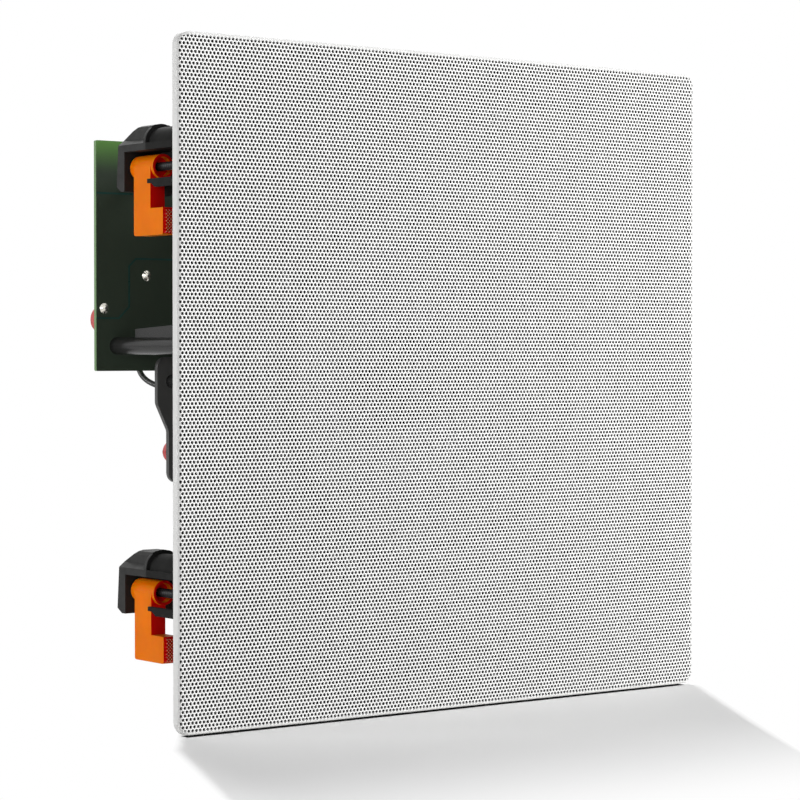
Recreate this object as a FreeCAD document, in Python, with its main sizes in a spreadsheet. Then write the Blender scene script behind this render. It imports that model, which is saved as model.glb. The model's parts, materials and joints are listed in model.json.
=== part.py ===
"""Square in-ceiling loudspeaker: pan grille, moulded chassis, four swing-out clamps and a coaxial driver.

Millimetres, +Z up, the front faces -Y. The origin is the centre of the ceiling plane, on the back of the
flange, so that everything at positive y sits in the ceiling.
"""
import FreeCAD, Part
import math
import os
import types

import Sketcher

SIZES = (
    # Grille
    ("face_side", 250.0, "side of the square grille"),
    ("face_standoff", 3.8, "grille front ahead of the ceiling plane"),
    ("face_corner", 5.0, "corner radius of the grille seen from the front"),
    ("ceiling_gap", 0.2, "grille rim ahead of the ceiling plane"),
    ("grille_sheet", 0.8, "thickness of the grille sheet"),
    ("grille_bend", 1.3, "outer bend radius of the grille's folded edge"),
    ("grille_clearance", 0.4, "grille rim to flange edge"),
    ("magnet_radius", 4.0, "grille magnet"),
    ("magnet_length", 2.0, "grille magnet"),
    ("magnet_spread", 60.0, "magnets to either side of a flange's middle"),
    # Chassis
    ("flange_thickness", 2.4, "chassis flange"),
    ("flange_overlap", 12.5, "grille beyond the square hole in the ceiling, on each side"),
    ("cutout_clearance", 0.5, "skirt to the side of that hole"),
    ("skirt_corner", 4.0, "outer corner radius of the skirt"),
    ("skirt_wall", 2.5, "skirt wall"),
    ("tray_depth", 5.0, "ceiling plane to the front of the baffle plate"),
    ("plate_thickness", 3.0, "baffle plate"),
    ("well_wall", 3.0, "round well that holds the driver"),
    ("well_step", 2.0, "driver seat behind the back of the baffle plate"),
    ("seat_thickness", 3.0, "driver seat ring"),
    ("rib_width", 2.0, "stiffening rib on the back of the baffle plate"),
    ("rib_height", 4.0, "stiffening rib behind the baffle plate"),
    ("rib_slope", 9.0, "sloped end of a stiffening rib"),
    ("rib_spread", 30.0, "side ribs to either side of the middle"),
    ("rib_inset", 3.0, "end of a side rib from the side of the skirt"),
    ("corner_rib_inset", 16.0, "end of a corner rib from the two sides of the skirt"),
    # Clamps, from the axis of each clamp screw
    ("clamp_high_inset", 32.0, "upper clamp screws below the top of the skirt"),
    ("clamp_low_inset", 34.0, "lower clamp screws above the foot of the skirt"),
    ("tower_margin", 0.3, "open side of the tower inside the skirt"),
    ("tower_outer", 6.4, "screw axis to the open side of the tower"),
    ("tower_inner", 6.2, "screw axis to the inner wall"),
    ("tower_wall", 2.0, "inner wall of the tower"),
    ("roof_height", 6.0, "screw axis to the underside of the roof"),
    ("roof_thickness", 2.6, "roof of the tower"),
    ("tube_radius", 5.9, "half-round tube along the roof"),
    ("tube_bore", 3.4, "hollow of that tube"),
    ("tower_drop", 8.7, "screw axis to the foot of the rear wall"),
    ("wall_drop", 10.3, "screw axis to the foot of the inner wall"),
    ("tower_end", 39.5, "ceiling plane to the joint of tower and cap"),
    ("rail_width", 1.4, "guide rail beside the dog's arm"),
    ("rail_height", 3.2, "guide rail"),
    ("rail_tip_height", 1.6, "guide rail at its tip"),
    ("rail_tip_length", 2.6, "slender tip of the guide rail"),
    ("rail_slope", 2.7, "from the tip's height to the rail's full height"),
    ("rail_drop", 4.8, "screw axis to the top of the guide rail"),
    ("rail_gap", 0.4, "guide rail to the stowed dog"),
    ("hood_lip", 1.4, "round lip of the cap's hood proud of the tube"),
    ("hood_lip_length", 1.6, "round lip of the hood, front to back"),
    ("hood_half_width", 4.8, "middle of the hood to its sides"),
    ("hood_ledge", 2.0, "sloped ledge beside the hood"),
    ("hood_edge", 1.8, "rounded upper edges of the hood"),
    ("hood_drop", 0.4, "level part of the hood below its lip"),
    ("hood_length", 9.0, "level part of the hood"),
    ("cap_gap", 1.2, "stowed dog's boss to the cap's rear wall"),
    ("cap_wall", 4.4, "rear wall of the cap"),
    ("cap_rake", 1.2, "rear wall's foot behind its top"),
    ("cap_chamfer", 3.2, "chamfer at the foot of the rear wall, front to back"),
    ("cap_chamfer_rise", 1.8, "that chamfer's height"),
    ("screw_radius", 1.65, "clamp screw"),
    ("screw_fit", 0.08, "clamp screw in its bores"),
    ("screw_head_radius", 3.6, "clamp screw head"),
    ("screw_head_height", 2.4, "clamp screw head"),
    ("screw_head_gap", 0.5, "clamp screw head to the recess around it"),
    ("screw_head_recess", 0.8, "recess of the clamp screw head in the baffle plate"),
    ("screw_slot", 1.0, "cross slot in a screw head"),
    ("screw_end_gap", 0.9, "tip of the clamp screw short of the cap's back"),
    ("dog_front", 37.2, "ceiling plane to the stowed dog's boss"),
    ("boss_radius", 4.6, "dog's boss"),
    ("boss_length", 16.0, "dog's boss"),
    ("boss_recess_radius", 3.6, "counterbore in the front of the boss"),
    ("boss_recess_depth", 3.0, "counterbore in the front of the boss"),
    ("bar_setback", 1.6, "dog's bar behind the front of its boss"),
    ("bar_depth", 11.6, "dog's bar, front to back"),
    ("arm_thickness", 6.2, "dog's arm"),
    ("arm_length", 25.5, "screw axis to the end of the dog's arm"),
    ("arm_offset", 4.7, "screw axis to the arm's outer face"),
    ("foot_height", 10.0, "dog's foot"),
    ("foot_reach", 8.6, "dog's foot ahead of the bar"),
    ("foot_corner", 1.0, "rounded corners of the dog's end"),
    # Driver
    ("driver_margin", 26.0, "rim of the driver's basket to the side of the skirt"),
    ("basket_clearance", 1.0, "basket to the chassis around it"),
    ("basket_rim", 2.5, "thickness of the basket's rim"),
    ("basket_sheet", 1.6, "basket steel"),
    ("basket_lip", 10.0, "rim of the basket, across"),
    ("basket_shelf_radius", 48.0, "outer radius of the basket at the spider's shelf"),
    ("basket_shelf", 30.0, "basket seat to the spider's shelf"),
    ("basket_depth", 38.0, "basket seat to the magnet's top plate"),
    ("basket_back_radius", 43.0, "outer radius of the basket's back"),
    ("window_width", 30.0, "windows between the basket's spokes"),
    ("gasket_thickness", 1.2, "ring over the surround's edge"),
    ("roll_radius", 6.4, "half-roll of the surround"),
    ("surround_sheet", 0.7, "rubber of the surround"),
    ("surround_lip", 5.0, "flat glued lips of the surround"),
    ("cone_sheet", 0.8, "cone"),
    ("cone_depth", 27.0, "cone, front edge to neck"),
    ("coil_radius", 19.0, "inside of the voice coil's former"),
    ("former_wall", 0.3, "voice coil's former"),
    ("winding_thickness", 0.6, "voice coil's winding"),
    ("winding_length", 10.0, "voice coil's winding"),
    ("coil_gap", 0.6, "voice coil to the pole and the top plate"),
    ("spider_sheet", 0.5, "spider"),
    ("spider_gap", 0.3, "spider to the voice coil's former"),
    ("spider_wave", 1.2, "height of the spider's waves"),
    ("top_plate_thickness", 5.0, "magnet's top plate"),
    ("magnet_plate_radius", 41.0, "magnet's steel plates"),
    ("ring_magnet_radius", 45.0, "ferrite ring"),
    ("ring_magnet_bore", 23.0, "ferrite ring"),
    ("ring_magnet_thickness", 15.0, "ferrite ring"),
    ("back_plate_thickness", 5.0, "back plate"),
    ("stem_radius", 4.0, "stem that carries the tweeter"),
    ("tweeter_radius", 16.0, "tweeter housing"),
    ("tweeter_length", 12.0, "tweeter housing"),
    ("tweeter_front", 4.5, "ceiling plane to the tweeter's rim"),
    ("dome_radius", 9.5, "tweeter dome"),
    ("dome_height", 3.6, "tweeter dome"),
    ("dome_sheet", 0.4, "tweeter dome"),
    ("flare_depth", 4.0, "flare in front of the tweeter dome"),
    ("driver_screw_radius", 1.6, "driver screws"),
    ("driver_head_radius", 3.2, "driver screws"),
    ("driver_head_height", 2.0, "driver screws"),
    # Crossover board
    ("board_front", 84.2, "ceiling plane to the board"),
    ("board_thickness", 1.6, "board"),
    ("board_margin", 5.7, "side of the skirt to the board's edge"),
    ("board_bottom", 4.0, "lower edge of the board"),
    ("board_top_inset", 19.3, "upper edge of the board below the top of the skirt"),
    ("board_corner", 0.6, "corner radius of the board"),
    ("post_radius", 3.4, "board posts"),
    ("low_post_inset", 9.3, "lower board posts from the board's edge"),
    ("low_post_z", 13.7, "lower board posts"),
    ("high_post_inset", 28.3, "upper board posts from the board's edge"),
    ("high_post_drop", 8.7, "upper board posts below the board's upper edge"),
    ("gusset_height", 6.0, "gusset ribs on the lower posts"),
    ("gusset_thickness", 2.2, "gusset ribs on the lower posts"),
    ("gusset_gap", 15.0, "end of the gusset ribs to the board"),
    ("board_screw_radius", 1.4, "board screws"),
    ("board_head_radius", 2.8, "board screws"),
    ("board_head_height", 2.0, "board screws"),
    ("board_screw_length", 8.0, "board screws"),
    ("solder_radius", 2.0, "solder joints"),
    ("solder_height", 1.4, "solder joints"),
    ("film_radius", 4.6, "film capacitors"),
    ("film_length", 22.0, "film capacitors"),
    ("electrolytic_radius", 6.5, "electrolytic capacitor"),
    ("electrolytic_length", 26.0, "electrolytic capacitor"),
    ("woofer_coil_radius", 19.0, "woofer inductor"),
    ("woofer_coil_length", 18.0, "woofer inductor"),
    ("tweeter_coil_radius", 13.0, "tweeter inductor"),
    ("tweeter_coil_length", 14.0, "tweeter inductor"),
    ("bobbin_core", 7.0, "core of the inductors' bobbins"),
    ("bobbin_cheek", 1.2, "cheeks of the bobbins"),
    ("bobbin_margin", 1.5, "cheeks proud of the winding"),
    ("resistor_length", 22.0, "power resistor"),
    ("resistor_width", 9.5, "power resistor"),
    ("header_length", 20.0, "lead header"),
    ("header_height", 7.0, "lead header"),
    ("header_rise", 3.0, "lead header above the board's lower edge"),
    # Terminals
    ("terminal_front", 66.2, "ceiling plane to the terminal plate"),
    ("terminal_thickness", 2.0, "terminal plate"),
    ("terminal_inset", 6.4, "post of the terminal plate from the inner edge of the driver's seat"),
    ("terminal_edge", 6.6, "that post to the plate's outer edge"),
    ("terminal_clearance", 1.0, "terminal plate to the driver's magnet"),
    ("terminal_top", 9.4, "upper edge of the terminal plate"),
    ("terminal_bottom", 39.0, "lower edge of the plate, below the middle"),
    ("terminal_step", 5.1, "how far the plate's lower part is set in"),
    ("terminal_step_top", 8.5, "start of that step, below the middle"),
    ("terminal_step_end", 19.0, "end of that step, below the middle"),
    ("terminal_corner", 4.0, "corners of the terminal plate"),
    ("terminal_post_radius", 2.7, "post of the terminal plate"),
    ("terminal_peg_inset", 4.4, "locating peg of the terminal plate, from the post"),
    ("terminal_peg_drop", 33.5, "locating peg, below the middle"),
    ("terminal_peg_radius", 1.5, "locating peg of the terminal plate"),
    ("block_depth", 6.0, "terminal block"),
    ("block_margin", 5.8, "terminal block around its buttons"),
    ("block_height", 20.0, "terminal block"),
    ("block_centre", 27.0, "terminal block, below the middle"),
    ("button_radius", 4.4, "terminal buttons"),
    ("button_head", 3.8, "head of the terminal buttons"),
    ("button_travel", 3.0, "press of the terminal buttons"),
    ("button_rest", 0.2, "a pressed button's head to its block"),
    ("button_stem_radius", 3.0, "stem of the terminal buttons"),
    ("button_fit", 0.3, "stem of the terminal buttons in their block"),
    ("button_drop", 27.6, "terminal buttons, below the middle"),
    ("button_inset", 8.5, "post of the terminal plate to the red button"),
    ("button_pitch", 15.0, "red button to black button"),
    ("wire_hole_radius", 1.6, "wire holes of the terminal block"),
    ("wire_hole_depth", 5.0, "wire holes of the terminal block"),
    ("wire_hole_rise", 6.6, "wire holes above the buttons"),
    ("tag_width", 22.0, "woofer's tag strip"),
    ("tag_thickness", 2.4, "woofer's tag strip"),
    ("tag_depth", 4.0, "woofer's tag strip"),
    ("tag_spread", 6.0, "woofer's leads to either side of the strip's middle"),
    ("tag_lead_rise", 54.0, "woofer's leads above the middle, at the board"),
    ("lead_radius", 1.1, "internal leads"),
    ("lead_inset", 22.0, "black lead from the board's edge"),
    ("lead_pitch", 12.5, "black lead to red lead"),
    ("lead_drop", 6.5, "straight run of the leads below their header"),
    ("lead_entry", 13.0, "straight run of the leads above the terminal block"),
)


class Size:
    """A number together with the spreadsheet expression that gives it."""

    def __init__(self, value, text):
        self.value = float(value)
        self.text = text

    def __float__(self):
        return self.value

    def __add__(self, other):
        return Size(self.value + float(other), f"({self.text} + {as_text(other)})")

    def __radd__(self, other):
        return Size(float(other) + self.value, f"({as_text(other)} + {self.text})")

    def __sub__(self, other):
        return Size(self.value - float(other), f"({self.text} - {as_text(other)})")

    def __rsub__(self, other):
        return Size(float(other) - self.value, f"({as_text(other)} - {self.text})")

    def __mul__(self, other):
        return Size(self.value * float(other), f"({self.text} * {as_text(other)})")

    __rmul__ = __mul__

    def __truediv__(self, other):
        return Size(self.value / float(other), f"({self.text} / {as_text(other)})")

    def __neg__(self):
        return Size(-self.value, f"(-{self.text})")


def as_text(number):
    return number.text if isinstance(number, Size) else repr(float(number))


doc = FreeCAD.newDocument("ceiling_speaker")
sheet = doc.addObject("Spreadsheet::Sheet", "Sizes")
for row, (alias, number, note) in enumerate(SIZES, 1):
    sheet.set(f"A{row}", note)
    sheet.set(f"B{row}", str(number))
    sheet.setAlias(f"B{row}", alias)
doc.recompute()
s = types.SimpleNamespace(**{alias: Size(number, f"Sizes.{alias}") for alias, number, note in SIZES})

# Planes along the depth of the speaker
CEILING = 0.0
FACE = -s.face_standoff
RIM_BACK = -s.ceiling_gap
FLANGE_FRONT = -s.flange_thickness
HEAD_SEAT = s.tray_depth + s.screw_head_recess
PLATE_BACK = s.tray_depth + s.plate_thickness
SEAT = PLATE_BACK + s.well_step
SEAT_BACK = SEAT + s.seat_thickness
RIB_BACK = PLATE_BACK + s.rib_height
BASKET_FRONT = SEAT - s.basket_rim
GASKET_BACK = BASKET_FRONT - s.surround_sheet
GASKET_FRONT = GASKET_BACK - s.gasket_thickness
TOP_PLATE = SEAT + s.basket_depth
RING_FRONT = TOP_PLATE + s.top_plate_thickness
RING_BACK = RING_FRONT + s.ring_magnet_thickness
YOKE_BACK = RING_BACK + s.back_plate_thickness
BOARD_BACK = s.board_front + s.board_thickness
PLATE_REAR = s.terminal_front + s.terminal_thickness
BLOCK_REAR = PLATE_REAR + s.block_depth
BAR_FRONT = s.dog_front + s.bar_setback
BAR_BACK = BAR_FRONT + s.bar_depth
BOSS_BACK = s.dog_front + s.boss_length
CAP_INSIDE = BOSS_BACK + s.cap_gap
CAP_BACK = CAP_INSIDE + s.cap_wall
CAP_FOOT = CAP_BACK + s.cap_rake

# Sides and radii that several pieces share
FLANGE_SIDE = s.face_side - 2 * (s.grille_sheet + s.grille_clearance)
CUTOUT_SIDE = s.face_side - 2 * s.flange_overlap
SKIRT_SIDE = CUTOUT_SIDE - 2 * s.cutout_clearance
TRAY_SIDE = SKIRT_SIDE - 2 * s.skirt_wall
CLAMP_X = SKIRT_SIDE / 2 - s.tower_margin - s.tower_outer
CLAMP_HIGH = SKIRT_SIDE / 2 - s.clamp_high_inset
CLAMP_LOW = SKIRT_SIDE / 2 - s.clamp_low_inset
BASKET_RADIUS = SKIRT_SIDE / 2 - s.driver_margin
BASKET_MOUTH = BASKET_RADIUS - s.basket_lip
DRIVER_SCREW_RING = BASKET_RADIUS - s.basket_lip / 2
WELL_INSIDE = BASKET_RADIUS + s.basket_clearance
SEAT_INSIDE = BASKET_MOUTH + s.basket_clearance
ROOF_TOP = s.roof_height + s.roof_thickness
TOWER_INNER_FACE = s.tower_inner + s.tower_wall
SCREW_BORE = s.screw_radius + s.screw_fit
COIL_OUTSIDE = s.coil_radius + s.former_wall + s.winding_thickness
ROLL_OUTER = BASKET_MOUTH - s.basket_sheet
ROLL_MIDDLE = ROLL_OUTER - s.roll_radius
ROLL_INNER = ROLL_MIDDLE - s.roll_radius
CONE_RIM = ROLL_INNER + s.surround_lip / 2
CONE_NECK = s.coil_radius + s.former_wall
CONE_FRONT = BASKET_FRONT
CONE_BACK = CONE_FRONT + s.cone_depth
SHELF = SEAT + s.basket_shelf
POLE_RADIUS = s.coil_radius - s.coil_gap
PLATE_BORE = COIL_OUTSIDE + s.coil_gap
BOARD_HALF = SKIRT_SIDE / 2 - s.board_margin
BOARD_TOP = SKIRT_SIDE / 2 - s.board_top_inset
HIGH_POST_Z = BOARD_TOP - s.high_post_drop
LOW_POST_X = BOARD_HALF - s.low_post_inset
HIGH_POST_X = BOARD_HALF - s.high_post_inset
LEAD_X = BOARD_HALF - s.lead_inset
TERMINAL_POST_X = SEAT_INSIDE + s.terminal_inset
TERMINAL_PEG_X = TERMINAL_POST_X - s.terminal_peg_inset
BUTTON_RED_X = TERMINAL_POST_X - s.button_inset
BUTTON_BLACK_X = BUTTON_RED_X - s.button_pitch

# Proportions
CONE_BEND_OUT = 0.45
CONE_BEND_DOWN = 0.62
WINDOW_START = 0.2
WINDOW_END = 0.85
WINDOW_ANGLES = (0, 60, 120)
SPIDER_WAVES = 6
SLOT_SHARE = 0.6
BUTTON_EDGE = 0.35
SOLDER_TIP = 0.3
SOLDER_WAIST = 0.6
CAN_EDGE = 0.3
BEND_SHARE = 0.45
HOOD_ROUND = 0.3

# How far a cutting tool runs past the face that it opens
OVER = 1.0

# Places on the board, as shares of its width from the left and of its height from below
SOLDER_SPOTS = (
    (0.017, 0.272),
    (0.107, 0.417),
    (0.279, 0.451),
    (0.279, 0.812),
    (0.552, 0.225),
    (0.589, 0.225),
    (0.683, 0.541),
    (0.683, 0.789),
    (0.834, 0.248),
    (0.937, 0.248),
    (0.825, 0.744),
    (0.937, 0.744),
)
FILM_SPOTS = ((0.0147, 0.225), (0.869, 0.248))
ELECTROLYTIC_SPOT = (0.486, 0.225)
WOOFER_COIL_SPOT = (0.335, 0.631)
TWEETER_COIL_SPOT = (0.608, 0.654)
RESISTOR_SPOT = (0.881, 0.744)

ALONG_Y = FreeCAD.Rotation(FreeCAD.Vector(1, 0, 0), -90)
HALF_TURN = FreeCAD.Rotation(FreeCAD.Vector(0, 1, 0), 180)
QUARTER_TURN = FreeCAD.Rotation(FreeCAD.Vector(0, 1, 0), 90)
CORNER_TURNS = [FreeCAD.Rotation(FreeCAD.Vector(0, 1, 0), angle) for angle in (45, -45)]
LEVEL = FreeCAD.Rotation()
parts = []


def bind(thing, name, size):
    """Sets a property, or ties it to the sheet where the value comes from there."""
    if isinstance(size, Size):
        thing.setExpression(name, size.text)
    elif float(size) or not name.startswith("Placement"):
        thing.setExpression(name, repr(float(size)))


def place(thing, x=0, y=0, z=0, turn=LEVEL):
    thing.Placement = FreeCAD.Placement(FreeCAD.Vector(), turn)
    for axis, size in zip("xyz", (x, y, z)):
        bind(thing, f"Placement.Base.{axis}", size)
    return thing


def new(kind, name):
    return doc.addObject(kind, name)


def block(name, x, y, z, turn=LEVEL):
    """A box between the given pairs of planes."""
    box = new("Part::Box", name)
    for side, (low, high) in zip(("Length", "Width", "Height"), (x, y, z)):
        bind(box, side, high - low)
    return place(box, x[0], y[0], z[0], turn)


def rod(name, radius, y, x=0, z=0):
    """A round bar along the depth of the speaker, between two planes."""
    bar = new("Part::Cylinder", name)
    bind(bar, "Radius", radius)
    bind(bar, "Height", y[1] - y[0])
    return place(bar, x, y[0], z, ALONG_Y)


def fused(name, pieces):
    joined = new("Part::MultiFuse", name)
    joined.Shapes = pieces
    joined.Refine = True
    return joined


def cut(name, base, tools):
    hollowed = new("Part::Cut", name)
    hollowed.Base = base
    hollowed.Tool = tools[0] if len(tools) == 1 else fused(f"{name}_cuts", tools)
    hollowed.Refine = True
    return hollowed


def common(name, pieces):
    shared = new("Part::MultiCommon", name)
    shared.Shapes = pieces
    shared.Refine = True
    return shared


def compound(name, pieces):
    group = new("Part::Compound", name)
    group.Links = pieces
    return group


def node(label, thing):
    """Marks an object as one of the speaker's pieces, under its own name."""
    thing.Label = label
    parts.append(thing)
    return thing


def sketch_in(body, role, offset):
    """A sketch on one of the body's origin planes, moved along that plane's normal."""
    drawing = body.newObject("Sketcher::SketchObject", f"{body.Name}_sketch")
    plane = [item for item in body.Origin.OriginFeatures if item.Role == role][0]
    drawing.AttachmentSupport = [(plane, "")]
    drawing.MapMode = "FlatFace"
    bind(drawing, "AttachmentOffset.Base.z", offset)
    return drawing


def pin_point(drawing, line, size, direction, axis):
    """Ties the start of a line to its distance from one of the sketch's axes."""
    if not isinstance(size, Size) and float(size) == 0:
        drawing.addConstraint(Sketcher.Constraint("PointOnObject", line, 1, axis))
        return
    spot = drawing.addConstraint(Sketcher.Constraint(direction, -1, 1, line, 1, float(size)))
    bind(drawing, f"Constraints[{spot}]", size)


def polygon(drawing, points):
    """A closed outline whose corners are tied to the sheet."""
    vectors = [FreeCAD.Vector(float(across), float(up), 0) for across, up in points]
    count = len(points)
    for line in range(count):
        drawing.addGeometry(Part.LineSegment(vectors[line], vectors[(line + 1) % count]), False)
    for line in range(count):
        drawing.addConstraint(Sketcher.Constraint("Coincident", line, 2, (line + 1) % count, 1))
    for line, (across, up) in enumerate(points):
        pin_point(drawing, line, across, "DistanceX", -2)
        pin_point(drawing, line, up, "DistanceY", -1)


def padded(body, drawing, length, backwards):
    pad = body.newObject("PartDesign::Pad", f"{body.Name}_pad")
    pad.Profile = drawing
    pad.Reversed = backwards
    bind(pad, "Length", length)
    return pad


def slab(name, points, y):
    """An outline seen from the front, as thick as the given pair of planes."""
    body = new("PartDesign::Body", name)
    drawing = sketch_in(body, "XZ_Plane", -y[0])
    polygon(drawing, points)
    padded(body, drawing, y[1] - y[0], True)
    return body


def profile(name, points, x):
    """An outline seen from the side, given as depth and height, between two planes across the speaker."""
    body = new("PartDesign::Body", name)
    drawing = sketch_in(body, "YZ_Plane", x[0])
    polygon(drawing, points)
    padded(body, drawing, x[1] - x[0], False)
    return body


def turned(name, points, x=0, z=0):
    """A section, given as radius and depth, turned about an axis along the depth."""
    body = new("PartDesign::Body", name)
    drawing = sketch_in(body, "XY_Plane", 0.0)
    polygon(drawing, points)
    spin = body.newObject("PartDesign::Revolution", f"{name}_turn")
    spin.Profile = drawing
    spin.ReferenceAxis = (drawing, ["V_Axis"])
    spin.Angle = 360
    return place(body, x, 0, z)


def ring(name, inside, outside, y):
    return turned(name, [(inside, y[0]), (outside, y[0]), (outside, y[1]), (inside, y[1])])


def round_off(body, radius, wanted):
    """Rounds the edges of a body that the given test picks."""
    doc.recompute()
    base = body.Tip
    names = [f"Edge{i}" for i, edge in enumerate(base.Shape.Edges, 1) if wanted(edge)]
    fillet = body.newObject("PartDesign::Fillet", f"{body.Name}_round")
    fillet.Base = (base, names)
    bind(fillet, "Radius", radius)
    return body


def runs_deep(edge):
    """True for a straight edge along the depth."""
    return edge.Curve.TypeId == "Part::GeomLine" and abs(edge.tangentAt(edge.FirstParameter).y) > 0.99


def runs_across(edge):
    """True for a straight edge from side to side."""
    return edge.Curve.TypeId == "Part::GeomLine" and abs(edge.tangentAt(edge.FirstParameter).x) > 0.99


def rounded_plate(name, half_width, bottom, top, radius, y):
    """A rectangle seen from the front, with round corners."""
    outline = [(-half_width, bottom), (half_width, bottom), (half_width, top), (-half_width, top)]
    return round_off(slab(name, outline, y), radius, runs_deep)


def square(name, side, radius, y):
    return rounded_plate(name, side / 2, -side / 2, side / 2, radius, y)


def make_grille():
    outer = square("grille_outside", s.face_side, s.face_corner, (FACE, RIM_BACK))
    near_face = float(FACE + s.grille_sheet / 2)
    round_off(outer, s.grille_bend, lambda edge: edge.BoundBox.YMax < near_face)
    inner_side = s.face_side - 2 * s.grille_sheet
    inner_corner = s.face_corner - s.grille_sheet
    hollow = square("grille_inside", inner_side, inner_corner, (FACE + s.grille_sheet, OVER))
    node("grille", cut("grille", outer, [hollow]))


def flange_middle():
    """Distance from the middle of the speaker to the middle of the flange's width."""
    return (FLANGE_SIDE + TRAY_SIDE) / 4


def magnet_rods(name, radius, y):
    reach = flange_middle()
    rods = []
    for side in (-1, 1):
        for offset in (-1, 1):
            along = offset * s.magnet_spread
            rods.append(rod(f"{name}_up_{side + 1}{offset + 1}", radius, y, along, side * reach))
            rods.append(rod(f"{name}_side_{side + 1}{offset + 1}", radius, y, side * reach, along))
    return rods


def magnet_planes():
    front = FACE + s.grille_sheet
    return front, front + s.magnet_length


def make_magnets():
    discs = magnet_rods("magnet", s.magnet_radius, magnet_planes())
    node("grille_magnets", compound("grille_magnets", discs))


def clamp_places():
    """Screw axis of each clamp, and the turn that brings the pair on the right into place."""
    return (
        (-CLAMP_X, CLAMP_HIGH, LEVEL),
        (-CLAMP_X, -CLAMP_LOW, LEVEL),
        (CLAMP_X, -CLAMP_HIGH, HALF_TURN),
        (CLAMP_X, CLAMP_LOW, HALF_TURN),
    )


def half_tube(name, radius, y):
    """The upper half of a round bar that lies along the roof of a clamp tower."""
    centre = (TOWER_INNER_FACE - s.tower_outer) / 2
    whole = rod(f"{name}_bar", radius, y, centre, ROOF_TOP)
    keep = block(f"{name}_half", (centre - radius, centre + radius), y, (ROOF_TOP, ROOF_TOP + radius))
    return common(name, [whole, keep])


def make_tower(index):
    """The chassis's share of one clamp: roof with its tube, inner wall and guide rail."""
    across = (-s.tower_outer, TOWER_INNER_FACE)
    deep = (PLATE_BACK, s.tower_end)
    roof = block(f"roof_{index}", across, deep, (s.roof_height, ROOF_TOP))
    wall = block(f"wall_{index}", (s.tower_inner, TOWER_INNER_FACE), deep, (-s.wall_drop, ROOF_TOP))
    tip = BAR_FRONT - s.rail_gap
    slope = tip - s.rail_tip_length
    rail = profile(
        f"rail_{index}",
        [
            (PLATE_BACK, -s.rail_drop),
            (tip, -s.rail_drop),
            (tip, -s.rail_drop - s.rail_tip_height),
            (slope, -s.rail_drop - s.rail_tip_height),
            (slope - s.rail_slope, -s.rail_drop - s.rail_height),
            (PLATE_BACK, -s.rail_drop - s.rail_height),
        ],
        (-s.tower_outer, s.rail_width - s.tower_outer),
    )
    tube = half_tube(f"tube_{index}", s.tube_radius, deep)
    bore = half_tube(f"tube_bore_{index}", s.tube_bore, (PLATE_BACK + s.plate_thickness, s.tower_end))
    return cut(f"tower_{index}", fused(f"tower_solid_{index}", [roof, wall, rail, tube]), [bore])


def make_gusset(index, x):
    """A rib that stiffens a board post from above."""
    end = s.board_front - s.gusset_gap
    base = s.low_post_z + s.post_radius / 2
    tip = s.low_post_z + s.post_radius + s.gusset_height / 2
    foot = s.low_post_z + s.post_radius + s.gusset_height
    half = s.gusset_thickness / 2
    outline = [(PLATE_BACK, base), (end, base), (end, tip), (PLATE_BACK, foot)]
    return profile(f"gusset_{index}", outline, (x - half, x + half))


def board_posts():
    return (
        (-LOW_POST_X, s.low_post_z),
        (LOW_POST_X, s.low_post_z),
        (-HIGH_POST_X, HIGH_POST_Z),
        (HIGH_POST_X, HIGH_POST_Z),
    )


def driver_screw_spots():
    """Four screws on the driver's rim, on the diagonals."""
    reach = DRIVER_SCREW_RING * 0.5 ** 0.5
    return [(reach * across, reach * up) for across in (-1, 1) for up in (-1, 1)]


def driver_holes(name, radius, y):
    """A hole for each of the driver screws."""
    return [rod(f"{name}_{index}", radius, y, x, z) for index, (x, z) in enumerate(driver_screw_spots(), 1)]


def make_rib(name, x, reach, turn):
    """A rib across the back of the baffle plate, sloped down to the plate at both ends."""
    half = s.rib_width / 2
    top = reach - s.rib_slope
    outline = [(PLATE_BACK, -reach), (PLATE_BACK, reach), (RIB_BACK, top), (RIB_BACK, -top)]
    return place(profile(name, outline, (x - half, x + half)), turn=turn)


def make_ribs():
    """Stiffening ribs between the driver's well and the skirt."""
    side_reach = SKIRT_SIDE / 2 - s.rib_inset
    corner_reach = (SKIRT_SIDE / 2 - s.corner_rib_inset) * 2 ** 0.5
    bars = []
    for way, turn in (("up", LEVEL), ("across", QUARTER_TURN)):
        for index, side in enumerate((-1, 1), 1):
            bars.append(make_rib(f"rib_{way}_{index}", side * s.rib_spread, side_reach, turn))
    for index, turn in enumerate(CORNER_TURNS, 1):
        bars.append(make_rib(f"rib_corner_{index}", 0, corner_reach, turn))
    core = rod("rib_core", WELL_INSIDE + s.well_wall / 2, (PLATE_BACK - OVER, RIB_BACK + OVER))
    return cut("ribs", fused("rib_bars", bars), [core])


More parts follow.
